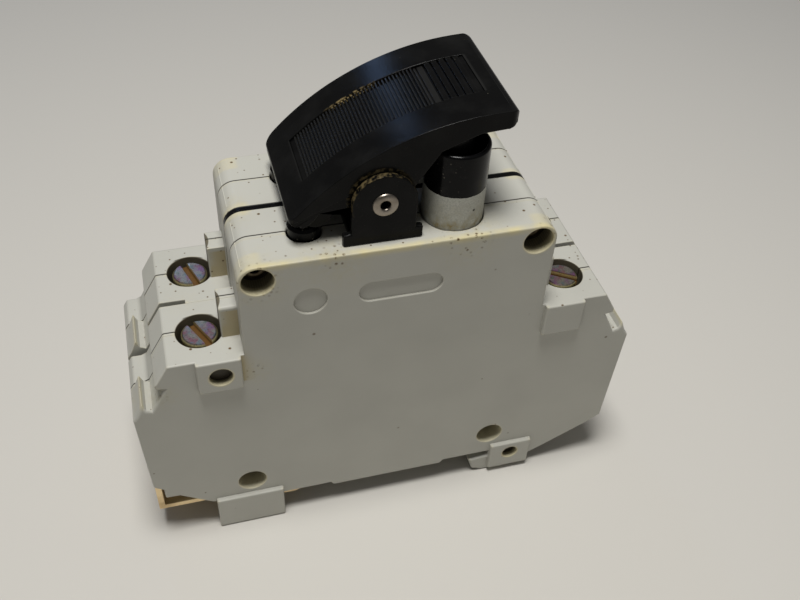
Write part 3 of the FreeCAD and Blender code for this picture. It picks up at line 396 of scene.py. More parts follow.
def platedZinc():
    look = screwLook
    material, tree, shader, coords = startMaterial("platedZinc", 0.3, metallic=1.0)
    colour = look["plate"]
    for shade, size, low, high in look["tints"]:
        offset = made(tree, "ShaderNodeVectorMath", {0: coords, 1: (size, size * 2, size * 3)},
                      operation="ADD")
        colour = mixed(tree, colour, shade, noise(tree, offset, size, low, high))
    # the side of the head is painted lighter and less metallic, a painted highlight
    paintedSideHighlight = slope(tree, coords, 2, look["top"] - 0.08, look["top"] - 0.2)
    colour = mixed(tree, colour, look["side"], paintedSideHighlight)
    colour = mixed(tree, colour, look["slot"], nearPlane(tree, coords, 2, look["slotLow"], 0.1, 0.6))
    scratches = noise(tree, coords, 0.22, 0.5, 0.75, 8.0)
    colour = mixed(tree, colour, look["grime"], times(tree, scratches, 0.6))
    # darker in the corners from the occlusion there: dirt and painted shade
    corners = times(tree, hollows(tree, 0.8, 0.3, 0.9), 0.8)
    colour = mixed(tree, colour, look["grime"], corners)
    tree.links.new(between(tree, paintedSideHighlight, 1.0, 0.3), shader.inputs["Metallic"])
    bump(tree, shader, noise(tree, coords, 0.5, 0.2, 0.8, 6.0), 0.04, 0.8)
    return endMaterial(material, shader, colour)


def plainMetal(name, shade, tarnish, roughness, patch=2.0):
    material, tree, shader, coords = startMaterial(name, roughness, metallic=1.0)
    colour = mixed(tree, shade, tarnish, noise(tree, coords, patch, 0.4, 0.75, 6.0))
    bump(tree, shader, noise(tree, coords, 0.4, 0.2, 0.8, 6.0), 0.01)
    return endMaterial(material, shader, colour)


def mouldedPlastic(name, shade, roughness):
    material, tree, shader, coords = startMaterial(name, roughness, specular=0.4)
    colour = mixed(tree, shade, darker(shade, 0.8), noise(tree, coords, 3.0, 0.4, 0.7))
    return endMaterial(material, shader, colour)


looks = {
    "housing_plastic": housingPlastic(),
    "black_plastic": blackPlastic("bracketPlastic", 0.26, 0.22, ring=(4.25, 0.15, 0.45)),
    "rocker_plastic": blackPlastic("rockerPlastic", 0.24, 0.3, ring=(4.5, 0.35, 0.4), dustLine=True),
    "button_plastic": buttonPlastic("onButtonPlastic", True),
    "off_button": buttonPlastic("offButtonPlastic", False),
    "inner_plastic": mouldedPlastic("innerPlastic", (176, 160, 128), 0.5),
    "rivet_steel": plainMetal("rivetSteel", (110, 100, 84), (66, 54, 38), 0.36),
    "pivot_steel": plainMetal("pivotSteel", (150, 142, 132), (106, 96, 82), 0.36),
    "spring_steel": plainMetal("springSteel", (150, 150, 150), (112, 108, 100), 0.28),
    "zinc_screw": platedZinc(),
    "zinc_clamp": plainMetal("clampZinc", (168, 166, 158), (124, 118, 100), 0.38),
    "copper": plainMetal("barCopper", (196, 124, 86), (132, 82, 56), 0.34),
    "silver": plainMetal("contactSilver", (206, 204, 198), (150, 142, 126), 0.26),
    "bimetal": plainMetal("bimetalStrip", (158, 152, 142), (120, 104, 80), 0.36),
    "winding": plainMetal("coilWinding", (168, 92, 52), (110, 58, 34), 0.32),
    "iron": plainMetal("magnetIron", (112, 110, 108), (74, 68, 62), 0.42),
    "clip_brass": plainMetal("clipBrass", (240, 218, 176), (192, 168, 128), 0.5, 3.0),
}
print("materials made:", len(looks))


# Meshes

def joinFlats(work):  # flat areas become single faces
    bmesh.ops.dissolve_limit(work, angle_limit=math.radians(0.6), verts=work.verts, edges=work.edges)


def sourceMesh(nodeName):  # a CAD node's faces in millimetres, merged
    work = bmesh.new()
    work.from_mesh(frame["nodes"][nodeName].data)
    work.transform(Matrix.Scale(1 / mm, 4))
    bmesh.ops.remove_doubles(work, verts=work.verts, dist=0.001)
    return work


def applied(draft, modifiers):  # swaps the object's mesh for the one that the modifiers make of it
    for kind, settings in modifiers:
        modifier = draft.modifiers.new(kind, kind)
        for key, value in settings.items():
            setattr(modifier, key, value)
    bpy.context.view_layer.update()
    graph = bpy.context.evaluated_depsgraph_get()
    before, result = draft.data, bpy.data.meshes.new_from_object(draft.evaluated_get(graph))
    draft.modifiers.clear()
    draft.data = result
    bpy.data.meshes.remove(before)
    return result


def flatArea(seed, waiting):  # the faces that join the seed and lie in its plane
    area, rest = [seed], [seed]
    while rest:
        for link in rest.pop().edges:
            for other in link.link_faces:
                if other in waiting and abs(other.normal.dot(seed.normal)) > 0.99999 and all(
                        abs((vert.co - seed.verts[0].co).dot(seed.normal)) < 0.002 for vert in other.verts):
                    waiting.discard(other)
                    area.append(other)
                    rest.append(other)
    return area


def refill(work, area):  # fills a flat area again from its outline
    members = set(area)
    total = sum((face.normal * face.calc_area() for face in area), Vector())
    outline = list(dict.fromkeys(link for face in area for link in face.edges
                                 if sum(other in members for other in link.link_faces) == 1))
    corners = [list(face.verts) for face in area]
    bmesh.ops.delete(work, geom=area, context="FACES_ONLY")
    beside = {face for link in outline for vert in link.verts for face in vert.link_faces}
    fresh = bmesh.ops.triangle_fill(work, edges=outline, use_beauty=True, normal=total.normalized())["geom"]
    fresh = [face for face in fresh if isinstance(face, bmesh.types.BMFace) and face not in beside]
    links = outline + [link for face in fresh for link in face.edges]
    filled = sum(face.calc_area() for face in fresh)
    if any(len(link.link_faces) != 2 for link in links) or abs(filled - total.length) > 0.01 * total.length:
        bmesh.ops.delete(work, geom=fresh, context="FACES_ONLY")  # it left a gap, so the old faces come back
        for verts in corners:
            work.faces.new(verts)
        return
    for face in fresh:
        face.normal_update()
        if face.normal.dot(total) < 0:
            face.normal_flip()
    for face in fresh:  # a sliver has no sure side, so it follows its neighbours
        if sum(not link.is_contiguous for link in face.edges) > 1:
            face.normal_flip()


def refillFlats(work):  # rounding can fold the faces of a flat area
    order = list(work.faces)
    waiting = set(order)
    for seed in order:
        if seed.is_valid and seed in waiting:
            waiting.discard(seed)
            area = flatArea(seed, waiting)
            if len(area) > 1 or len(seed.verts) > 8:
                refill(work, area)
    loose = [edge for edge in work.edges if not edge.link_faces]
    bmesh.ops.delete(work, geom=loose, context="EDGES")


def shaded(draft, sharpAngle=35):  # smooth faces with hard edges where they turn sharply, from mm to metres
    work = bmesh.new()
    work.from_mesh(draft.data)
    for face in work.faces:
        face.smooth = True
    for edge in work.edges:
        edge.smooth = len(edge.link_faces) != 2 or edge.calc_face_angle() < math.radians(sharpAngle)
    work.to_mesh(draft.data)
    work.free()
    applied(draft, [("WEIGHTED_NORMAL", {"keep_sharp": True, "weight": 60})])
    draft.data.name = draft.name
    draft.data.transform(Matrix.Scale(mm, 4))


def linked(name, work):  # a new object with the mesh as it is
    draft = bpy.data.objects.new(name, bpy.data.meshes.new(name))
    work.to_mesh(draft.data)
    work.free()
    layer.link(draft)
    return draft


def finished(name, work, material, modifiers=()):
    draft = linked(name, work)
    if modifiers:
        result = applied(draft, modifiers)
        work = bmesh.new()
        work.from_mesh(result)
        refillFlats(work)
        work.to_mesh(result)
        work.free()
    shaded(draft)
    draft.data.materials.clear()
    draft.data.materials.append(material)
    return draft


# Geometry Nodes trees, in millimetres, with their sizes as named inputs

def startTree(name, *sizes):
    tree = bpy.data.node_groups.new(name, "GeometryNodeTree")
    tree.interface.new_socket("Geometry", in_out="INPUT", socket_type="NodeSocketGeometry")
    tree.interface.new_socket("Geometry", in_out="OUTPUT", socket_type="NodeSocketGeometry")
    for size in sizes:
        kind = "NodeSocketInt" if size == "Count" else "NodeSocketFloat"
        tree.interface.new_socket(size, in_out="INPUT", socket_type=kind)
    tree.interface.new_socket("Finish", in_out="INPUT", socket_type="NodeSocketMaterial")
    return tree, tree.nodes.new("NodeGroupInput").outputs


def endTree(tree, geometry, finish):
    whole = made(tree, "GeometryNodeRealizeInstances", {0: geometry})
    dressed = made(tree, "GeometryNodeSetMaterial", {"Geometry": whole, "Material": finish})
    addNode(tree, "NodeGroupOutput", {0: dressed})
    return tree


def grown(name, tree, values, points=()):  # an object whose mesh the tree makes, from points or by itself
    draft = bpy.data.objects.new(name, bpy.data.meshes.new(name))
    draft.data.from_pydata(list(points), [], [])
    layer.link(draft)
    sockets = {item.name: item.identifier for item in tree.interface.items_tree if item.in_out == "INPUT"}
    modifier = draft.modifiers.new(name, "NODES")
    modifier.node_group = tree
    for size, value in values.items():
        modifier[sockets[size]] = value
    applied(draft, [])
    shaded(draft)
    return draft


def joined(tree, *parts):
    whole = tree.nodes.new("GeometryNodeJoinGeometry")
    for part in reversed(parts):
        tree.links.new(part, whole.inputs[0])
    return whole.outputs[0]


def vector(tree, x=0.0, y=0.0, z=0.0):
    return made(tree, "ShaderNodeCombineXYZ", {0: x, 1: y, 2: z})


def moved(tree, geometry, turn=(0, 0, 0), scale=(1, 1, 1), **place):
    return made(tree, "GeometryNodeTransform", {
        "Geometry": geometry, "Translation": vector(tree, **place), "Rotation": turn, "Scale": scale})


def onPoints(tree, points, part, turn=(0, 0, 0), scale=(1, 1, 1)):
    return made(tree, "GeometryNodeInstanceOnPoints", {
        "Points": points, "Instance": part, "Rotation": turn, "Scale": scale})


def bodyOf(nodeName):
    bodies = frame["record"]["behaviour"]["bodies"]
    return next(body for body, members in bodies.items() if nodeName in members)


def standIn(piece, nodeName):
    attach(piece, bodyOf(nodeName))
    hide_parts(nodeName)


def turnAt(vert, first, second):  # how far two edges are from being one straight line, in radians
    ahead = first.other_vert(vert).co - vert.co
    behind = vert.co - second.other_vert(vert).co
    return ahead.angle(behind)


def sharpRuns(work):  # the number of the run that each sharp edge is in, and the edges of each run
    sharp = [edge for edge in work.edges
             if len(edge.link_faces) == 2 and edge.calc_face_angle() > math.radians(25)]
    run = {edge: number for number, edge in enumerate(sharp)}
    members = {number: [edge] for edge, number in run.items()}
    for edge in sharp:
        for vert in edge.verts:
            for other in vert.link_edges:
                if other in run and run[other] != run[edge] and turnAt(vert, other, edge) < math.radians(30):
                    kept, taken = run[edge], run[other]
                    members[kept] += members.pop(taken)
                    for member in members[kept]:
                        run[member] = kept
    return run, members


def weighEdges(work, width, choose):  # each run of sharp edges gets the rounding that there is room for
    weight = work.edges.layers.float.new("bevel_weight_edge")
    run, members = sharpRuns(work)
    lengths = {number: sum(edge.calc_length() for edge in edges) for number, edges in members.items()}
    for number, edges in members.items():
        room = width
        for edge in edges:
            for vert in edge.verts:
                for other in vert.link_edges:
                    if run.get(other) != number and 0.5 < turnAt(vert, other, edge) < 2.7:
                        reach = lengths[run[other]] if other in run else other.calc_length()
                        room = min(room, reach * 0.4)
        for edge in edges:
            edge[weight] = min(choose(edge) * width, room) / width


def rounding(width, segments=3):
    return ("BEVEL", {"width": width, "segments": segments, "limit_method": "WEIGHT",
                      "use_clamp_overlap": False, "loop_slide": False})


# Housing shells, with the outer edges rounded and a fine break along the parting lines

shellSizes = {
    "round": 0.45, "outer": 1.0, "inner": 0.22, "side": 0.5, "rim": 0.35,  # widest rounding, and shares of it
    "holeDepth": 1.1, "holeDeeper": 1.9,
}


def changeHoles(work, side, outward):  # the outer faces get smaller holes, and deep ones for the rivets
    floor = outerFaces[side] - outward * shellSizes["holeDepth"]
    for vert in work.verts:
        if abs(vert.co.y - floor) < 0.02 and any(
                math.hypot(vert.co.x - x, vert.co.z - z) < 2.3 for x, z in rivetPlaces):
            vert.co.y -= outward * shellSizes["holeDeeper"]
        for x, z, radius, ratio, *rest in faceHoles:
            offset = math.hypot(vert.co.x - x, vert.co.z - z)
            if abs(vert.co.y) > 7 and radius - 0.12 < offset < radius + 0.12:
                vert.co.x, vert.co.z = x + (vert.co.x - x) * ratio, z + (vert.co.z - z) * ratio


offSizes = {"x": -10.6, "hole": 3.75, "newX": -12.0, "newRadius": 2.2, "newHole": 2.35,
            "flange": 2.7, "low": 42.3, "step": 43.7, "top": 55.6, "edge": 0.35}


def moveHole(work, middle):  # the deck's hole for the low button, as small as the photographed one
    size = offSizes
    for vert in work.verts:
        x, y, z = vert.co
        if z > 45 and abs(math.hypot(x - size["x"], y - middle) - size["hole"]) < 0.1:
            ratio = size["newHole"] / size["hole"]
            vert.co.x, vert.co.y = size["newX"] + (x - size["x"]) * ratio, middle + (y - middle) * ratio


def housingShell(pole, side):
    nodeName = f"{pole}_shell_{side}"
    work = sourceMesh(nodeName)
    joinFlats(work)
    moveHole(work, poleMiddles[pole])
    outward = -1 if side == "near" else 1
    exposed = nodeName in ("front_shell_near", "back_shell_far")
    if exposed:
        changeHoles(work, side, outward)
    tree = BVHTree.FromBMesh(work)
    ways = [Vector((x, y * outward, z)).normalized() for x in (-1, 0, 1) for y in (0, 1) for z in (-1, 0, 1)
            if x or y or z]

    def choose(edge):  # the edges that show from outside are rounded, the ones in the cavity stay as they are
        first, second = (face.normal for face in edge.link_faces)
        aside = (first + second).normalized() * 0.02
        aside.y = max(aside.y * outward, 0) * outward
        start = (edge.verts[0].co + edge.verts[1].co) / 2 + aside
        if not edge.is_convex or all(tree.ray_cast(start, way)[0] for way in ways):
            return 0.0
        facing = (first.y * outward, second.y * outward)
        centre = (edge.verts[0].co + edge.verts[1].co) / 2
        if any(math.hypot(centre.x - x, centre.z - z) < radius for x, z, radius, *rest in faceHoles):
            return shellSizes["rim"]
        if max(facing) > 0.9:
            return shellSizes["outer"] if exposed else shellSizes["inner"]
        return shellSizes["inner"] if min(facing) < -0.9 else shellSizes["side"]

    weighEdges(work, shellSizes["round"], choose)
    piece = finished(nodeName + "_body", work, looks["housing_plastic"], [rounding(shellSizes["round"])])
    standIn(piece, nodeName)


for pole in poles:
    for side in ("near", "far"):
        housingShell(pole, side)
print("housing shells done")


# Rivets and terminal screws

rivetDeep = 3.0  # how far the rivets lie inside the outer faces
rivetSizes = {"Radius": 1.5, "Head": 1.95, "Bore": 0.85, "Near": outerFaces["near"] + rivetDeep,
              "Far": outerFaces["far"] - rivetDeep, "Roll": 0.5}
pivotSizes = {"Radius": 1.2, "Head": 1.7, "Bore": 0.65, "Near": -10.35, "Far": 11.1, "Roll": 0.6}


def rivetTree():  # a tube along Y with a rolled ring at both ends, set on each point
    tree, size = startTree("hollowRivet", "Radius", "Head", "Bore", "Near", "Far", "Roll")
    wall = sums(tree, "SUBTRACT", size["Radius"], size["Bore"])
    middle = sums(tree, "MULTIPLY_ADD", wall, 0.5, size["Bore"])
    long = sums(tree, "SUBTRACT", size["Far"], size["Near"])
    path = made(tree, "GeometryNodeCurvePrimitiveCircle", {"Resolution": 40, "Radius": middle})
    section = made(tree, "GeometryNodeCurvePrimitiveQuadrilateral", {0: wall, 1: long})
    tube = made(tree, "GeometryNodeCurveToMesh", {0: path, 1: section})
    centre = sums(tree, "MULTIPLY_ADD", long, 0.5, size["Near"])
    alongY = (math.pi / 2, 0, 0)
    tube = moved(tree, tube, alongY, y=centre)
    across = sums(tree, "MULTIPLY", sums(tree, "SUBTRACT", size["Head"], size["Bore"]), 0.5)
    ringPath = made(tree, "GeometryNodeCurvePrimitiveCircle", {
        "Resolution": 40, "Radius": sums(tree, "ADD", size["Bore"], across)})
    ringSection = made(tree, "GeometryNodeCurvePrimitiveCircle", {"Resolution": 12, "Radius": across})
    ring = made(tree, "GeometryNodeCurveToMesh", {0: ringPath, 1: ringSection})
    flat = vector(tree, 1.0, 1.0, sums(tree, "DIVIDE", size["Roll"], sums(tree, "MULTIPLY", across, 2.0)))
    ends = [moved(tree, ring, alongY, flat, y=size[end]) for end in ("Near", "Far")]
    rivet = joined(tree, tube, *ends)
    return endTree(tree, onPoints(tree, size["Geometry"], rivet), size["Finish"])


hollowRivet = rivetTree()
housingRivets = grown("hollow_rivets", hollowRivet, {**rivetSizes, "Finish": looks["rivet_steel"]},
                      [(x, 0, z) for x, z in rivetPlaces])
standIn(housingRivets, "housing_rivets")
pivotRivet = grown("pivot_rivet_hollow", hollowRivet, {**pivotSizes, "Finish": looks["pivot_steel"]},
                   [(pivotX, 0, pivotZ)])
standIn(pivotRivet, "pivot_rivet")

screwSizes = {"Head": 2.55, "Thick": 1.9, "Chamfer": 0.32, "Shank": 1.75, "Low": 26.75, "Top": 38.5,
              "Slot Wide": 1.1, "Slot Deep": 0.95}
screwTurns = {("front", "left"): -64, ("front", "right"): -33, ("back", "left"): -72, ("back", "right"): 20}


def screwTree():  # a pan head on a plain shank, with a straight slot, turned on each point
    tree, size = startTree("slottedScrew", "Head", "Thick", "Chamfer", "Shank", "Low", "Top",
                           "Slot Wide", "Slot Deep", "Turn")
    rim = sums(tree, "SUBTRACT", size["Head"], size["Chamfer"])
    edge = sums(tree, "SUBTRACT", size["Top"], size["Chamfer"])
    seat = sums(tree, "SUBTRACT", size["Top"], size["Thick"])

    def drum(radiusTop, radiusLow, low, high):
        return moved(tree, made(tree, "GeometryNodeMeshCone", {
            "Vertices": 64, "Radius Top": radiusTop, "Radius Bottom": radiusLow,
            "Depth": sums(tree, "SUBTRACT", high, low)}), z=low)

    top = drum(rim, size["Head"], edge, size["Top"])
    head = drum(size["Head"], size["Head"], seat, edge)
    shank = drum(size["Shank"], size["Shank"], size["Low"], sums(tree, "ADD", seat, 0.2))
    slot = made(tree, "GeometryNodeMeshCube", {
        "Size": vector(tree, 8.0, size["Slot Wide"], sums(tree, "MULTIPLY", size["Slot Deep"], 2.0))})
    slot = moved(tree, slot, z=size["Top"])
    blank = made(tree, "GeometryNodeMergeByDistance", {0: joined(tree, top, head)})
    cutter = addNode(tree, "GeometryNodeMeshBoolean", operation="DIFFERENCE", solver="EXACT")
    tree.links.new(blank, cutter.inputs[0])
    tree.links.new(slot, cutter.inputs[1])
    screw = joined(tree, cutter.outputs[0], shank)
    placed = onPoints(tree, size["Geometry"], screw, vector(tree, z=size["Turn"]))
    return endTree(tree, placed, size["Finish"])


slottedScrew = screwTree()
for (pole, side), turn in screwTurns.items():
    place = (terminalX * (-1 if side == "left" else 1), poleMiddles[pole], 0)
    screw = grown(f"screw_{pole}_{side}", slottedScrew, {
        **screwSizes, "Turn": math.radians(turn), "Finish": looks["zinc_screw"]}, [place])
    standIn(screw, f"terminal_screw_{pole}_{side}")
print("rivets and screws done")


# Rocker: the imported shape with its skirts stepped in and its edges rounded, and the ribs in its panel

crown = {"x": 14.17, "z": 33.9, "radius": 37.3}  # the arc of the cap's top, seen from the front
rockerSizes = {
    "left": -14.3, "right": 14.1, "half": 9.5, "wall": 1.3,
    "round": 0.5, "rim": 0.45, "panelRim": 0.12, "other": 0.3,  # widths of the rounded edges
    "topLow": 66.0, "sideFrom": 8.0, "underFrom": 9.5, "underside": (68.3, 69.6),
    "longer": 0.7, "longerFrom": 6.0, "wider": 0.5, "lower": 0.3, "sunk": 0.02,
    "panelHalf": 4.7, "panelFloor": (36.6, 37.05),
    "panelRamps": ((1, 8.5, 2.8, 0.36, 0.4), (-1, -10.0, 1.65, 0.4, 0)),  # way, start, long, rise, along
    "end": 14.8, "endTop": 71.15, "endLow": 68.6, "endRound": 1.2, "endSpan": (67.0, 73.0),
    "cornerLeft": 1.2, "cornerRight": 1.6, "cornerSpan": (50, 76),
    "tongueX": 7.6, "tongueHalf": 1.95, "tongueRadius": 2.65, "tongueLow": 63.0, "tongueTop": 68.9,
    "stepDeep": 0.22,
    "step": [(-15.0, 57.2), (-13.5, 58.05), (-10.5, 59.45), (-6.6, 61.2), (-4.5, 62.6), (-2.35, 63.0),
             (0.0, 62.6), (1.4, 61.6), (1.4, 50.0), (-15.0, 50.0)],
    "trim": [(-14.6, 57.9), (-14.35, 57.6), (-13.35, 57.07), (-12.47, 56.83), (-11.75, 57.17),
             (-11.02, 57.94), (-10.47, 58.74), (-9.58, 58.76), (-7.2, 58.3), (-5.2, 58.05),
             (-5.2, 50.0), (-15.5, 50.0), (-15.5, 57.9)],
    "trimEnd": [(-15, 57.2), (-12.95, 57.2), (-12.95, 50), (-15, 50)],
    "skirt": [(-12.9, 57.4), (-12.9, 56.4), (-11.6, 56.5), (-10.4, 58.2), (-9.5, 58.3), (-5.2, 57.6),
              (-4.4, 60.0), (-7.0, 61.5)],
}


def prism(name, outline, low, high, axis="Y"):  # a closed block of the outline, to cut or add with
    work = bmesh.new()
    put = (lambda a, b, c: (a, c, b)) if axis == "Y" else (lambda a, b, c: (a, b, c))
    face = work.faces.new([work.verts.new(put(a, b, low)) for a, b in outline])
    moved = bmesh.ops.extrude_face_region(work, geom=[face])["geom"]
    bmesh.ops.translate(work, verts=[item for item in moved if isinstance(item, bmesh.types.BMVert)],
                        vec=put(0, 0, high - low))
    bmesh.ops.recalc_face_normals(work, faces=work.faces)
    return linked(name, work)


def arc(x, z, radius, start, end, count=8):
    turns = [math.radians(start + (end - start) * number / count) for number in range(count + 1)]
    return [(x + radius * math.cos(turn), z + radius * math.sin(turn)) for turn in turns]


def circle(radius, count=48):
    turns = [math.tau * number / count for number in range(count)]
    return [(radius * math.cos(turn), radius * math.sin(turn)) for turn in turns]


def skirtParts():  # the side walls reach a bit lower at the left end
    size = rockerSizes
    near, far, wall = wholeMiddle - size["half"], wholeMiddle + size["half"], size["wall"]
    return [prism("skirtNear", size["skirt"], near + 0.1, near + wall - 0.1),
            prism("skirtFar", size["skirt"], far - wall + 0.1, far - 0.1)]


def tongueParts():  # a tongue for each ON button, flat at its left and right
    size = rockerSizes
    tongues = []
    for pole in poles:
        limit = size["tongueHalf"]
        outline = [(size["tongueX"] + max(-limit, min(limit, x)), poleMiddles[pole] + y)
                   for x, y in circle(size["tongueRadius"])]
        outline = [point for number, point in enumerate(outline) if point != outline[number - 1]]
        tongues.append(prism("tongue" + pole, outline, size["tongueLow"], size["tongueTop"], axis="Z"))
    return tongues


def capCutters():  # each reaches past the faces that it cuts
    size = rockerSizes
    half, wall = size["half"], size["wall"]
    near, far = wholeMiddle - half, wholeMiddle + half
    end, radius = size["end"], size["endRound"]
    low, high = size["endSpan"]
    profile = arc(end - radius, size["endTop"] - radius, radius, 90, 0)
    profile += arc(end - radius, size["endLow"] + radius, radius, 0, -90)
    profile += [(end - radius, low), (end + 2, low), (end + 2, high), (end - radius, high)]
    cutters = [prism("stepNear", size["step"], near - 1, near + size["stepDeep"]),
               prism("stepFar", size["step"], far - size["stepDeep"], far + 1),
               prism("trimNear", size["trim"], near - 1, near + wall + 0.05),
               prism("trimFar", size["trim"], far - wall - 0.05, far + 1),
               prism("trimEnd", size["trimEnd"], near - 1, far + 1),
               prism("endProfile", profile, near - 2, far + 2)]
    for sign in (-1, 1):  # the four corners of the cap, seen from above
        for name, x, way, radius, side in (
                ("left", size["left"], -1, size["cornerLeft"], wholeMiddle + sign * half),
                ("right", end, 1, size["cornerRight"], wholeMiddle + sign * (half + size["wider"]))):
            outline = [(x - way * radius + way * a, side - sign * radius + sign * b)
                       for a, b in arc(0, 0, radius, 0, 90)]
            outline += [(x - way * radius, side + sign * 2), (x + way * 2, side + sign * 2),
                        (x + way * 2, side - sign * radius)]
            cutters.append(prism(f"corner{name}{sign}", outline, *size["cornerSpan"], axis="Z"))
    return cutters


def stretchCap(work):  # towards its right end the cap is longer, wider and thicker than its plain shape
    size = rockerSizes
    for vert in work.verts:
        x, y, z = vert.co
        aside, depth = y - wholeMiddle, math.hypot(x - crown["x"], z - crown["z"])
        if x > size["underFrom"] and size["underside"][0] < z < size["underside"][1]:
            vert.co.z -= size["lower"]
        if z > size["topLow"]:
            share = max(0, (x - size["longerFrom"]) / (size["right"] - size["longerFrom"])) ** 2
            vert.co.x += size["longer"] * share
            vert.co.z -= size["sunk"]
        if abs(aside) > size["sideFrom"]:
            share = max(0, (x - size["left"]) / (size["right"] - size["left"])) ** 2
            vert.co.y += math.copysign(size["wider"] * share, aside)
        elif abs(aside) < size["panelHalf"] and size["panelFloor"][0] < depth < size["panelFloor"][1]:
            for way, start, long, rise, along in size["panelRamps"]:  # the floor comes up at both its ends
                share = max(0, min(1, way * (x - start) / long))
                vert.co.z += rise * share
                vert.co.x += along * share


def capRounding(edge):  # the width of the rounding on an edge of the cap
    if not edge.is_convex:
        return 0.0
    size = rockerSizes
    ends = [vert.co for vert in edge.verts]
    across = min(abs(place.y - wholeMiddle) for place in ends)
    lowest = min(
        place.z - crown["z"] - math.sqrt(max(0.0, crown["radius"] ** 2 - (place.x - crown["x"]) ** 2))
        for place in ends)  # over the crown's arc
    if lowest > -0.1 and (across > 6 or abs(ends[0].y - ends[1].y) > 15):
        return size["rim"]
    if lowest > -0.9 and across < 5:
        return size["panelRim"]
    return size["rim"] if min(place.x for place in ends) > 12.9 else size["other"]


def rocker():
    added, cutters = skirtParts() + tongueParts(), capCutters()
    work = sourceMesh("rocker")
    stretchCap(work)
    draft = linked("rockerBlank", work)
    applied(draft, [("BOOLEAN", {"operation": operation, "solver": "EXACT", "object": part})
                    for operation, parts in (("UNION", added), ("DIFFERENCE", cutters)) for part in parts])
    work = bmesh.new()
    work.from_mesh(draft.data)
    bmesh.ops.remove_doubles(work, verts=work.verts, dist=0.002)
    nearCorners = [vert for vert in work.verts if vert.co.x > 13.3 and abs(vert.co.y - wholeMiddle) > 9.2]
    bmesh.ops.remove_doubles(work, verts=nearCorners, dist=0.15)  # edges too short for the rounding go
    joinFlats(work)
    for spare in added + cutters + [draft]:
        bpy.data.objects.remove(spare)
    width = rockerSizes["round"]
    weighEdges(work, width, lambda edge: capRounding(edge) / width)
    piece = finished("rocker_cap", work, looks["rocker_plastic"], [rounding(width)])
    standIn(piece, "rocker")


ribSizes = {"Centre X": crown["x"], "Centre Z": crown["z"], "Radius": 36.78, "Middle": wholeMiddle,
            "Length": 9.25, "Height": 0.36, "Fade In": 0.5, "Fade Out": 0.5}
ribRuns = {  # start along the crown from its top
    "fine": {"Start": -27.82, "Pitch": 0.493, "Width": 0.27, "Count": 39},
    "broad": {"Start": -8.35, "Pitch": 0.98, "Width": 0.76, "Count": 7},
}


def ribTree():  # ribs across the panel, side by side along the crown's arc
    tree, size = startTree("panelRibs", *ribSizes, *ribRuns["fine"])
    points = made(tree, "GeometryNodeMeshLine", {"Count": size["Count"]})
    index = made(tree, "GeometryNodeInputIndex")
    along = sums(tree, "MULTIPLY_ADD", index, size["Pitch"], size["Start"])
    turn = sums(tree, "DIVIDE", along, size["Radius"])
    x = sums(tree, "MULTIPLY_ADD", sums(tree, "SINE", turn), size["Radius"], size["Centre X"])
    z = sums(tree, "MULTIPLY_ADD", sums(tree, "COSINE", turn), size["Radius"], size["Centre Z"])
    place = vector(tree, x, size["Middle"], z)
    points = made(tree, "GeometryNodeSetPosition", {"Geometry": points, "Position": place})
    half = sums(tree, "MULTIPLY", size["Length"], 0.5)
    line = made(tree, "GeometryNodeCurvePrimitiveLine", {
        "Start": vector(tree, y=sums(tree, "MULTIPLY", half, -1.0)), "End": vector(tree, y=half)})
    line = made(tree, "GeometryNodeSetCurveNormal", {"Curve": line}, mode="Z_UP")
    section = made(tree, "GeometryNodeCurvePrimitiveQuadrilateral", {
        0: size["Width"], 1: sums(tree, "MULTIPLY", size["Height"], 2.0)})
    section = made(tree, "GeometryNodeFilletCurve", {
        "Curve": section, "Count": 3, "Radius": 0.08}, mode="POLY")
    rib = made(tree, "GeometryNodeCurveToMesh", {0: line, 1: section, "Fill Caps": True})
    last = sums(tree, "SUBTRACT", sums(tree, "SUBTRACT", size["Count"], 1.0), index)
    fading = [between(tree, where, 0.3, 1.0, over)
              for where, over in ((index, size["Fade In"]), (last, size["Fade Out"]))]
    tall = vector(tree, 1.0, 1.0, sums(tree, "MULTIPLY", *fading))
    placed = onPoints(tree, points, rib, vector(tree, y=turn), tall)
    return endTree(tree, placed, size["Finish"])


rocker()
panelRibs = ribTree()
for name, run in ribRuns.items():
    ribs = grown(f"rocker_ribs_{name}", panelRibs, {**ribSizes, **run, "Finish": looks["rocker_plastic"]})
    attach(ribs, bodyOf("rocker"))
print("rocker done")


# Every other node keeps its shape or gets slightly rounded edges

softEdges = {"pivot_bracket": (0.3, "black_plastic"), "spacer_plate": (0.05, "black_plastic")}
for pole in poles:
    softEdges[f"on_plunger_{pole}"] = (0.15, "button_plastic")
    softEdges[f"rail_clip_{pole}"] = (0.12, "clip_brass")
    for side in ("left", "right"):
        softEdges[f"wire_clamp_{pole}_{side}"] = (0.2, "zinc_clamp")


def lowButton(pole):  # a plain turned drum with a flange
    size = offSizes
    middle, radius, top = poleMiddles[pole], size["newRadius"], size["top"]
    profile = [(size["flange"], size["low"]), (size["flange"], size["step"]), (radius, size["step"]),
               (radius, top - size["edge"]), (radius - size["edge"], top)]
    work = bmesh.new()
    rings = [[work.verts.new((size["newX"] + x, middle + y, height)) for x, y in circle(wide)]
             for wide, height in profile]
    for lower, upper in zip(rings, rings[1:]):
        for number in range(len(lower)):
            work.faces.new((lower[number - 1], lower[number], upper[number], upper[number - 1]))
    work.faces.new(rings[0])
    work.faces.new(rings[-1])
    bmesh.ops.recalc_face_normals(work, faces=work.faces)
    piece = finished(f"off_plunger_{pole}_part", work, looks["off_button"])
    standIn(piece, f"off_plunger_{pole}")


for pole in poles:
    lowButton(pole)
for nodeName, (width, look) in softEdges.items():
    work = sourceMesh(nodeName)
    joinFlats(work)
    weighEdges(work, width, lambda edge: 1.0)
    piece = finished(nodeName + "_part", work, looks[look], [rounding(width, 2)])
    standIn(piece, nodeName)
print("small parts done:", len(softEdges))

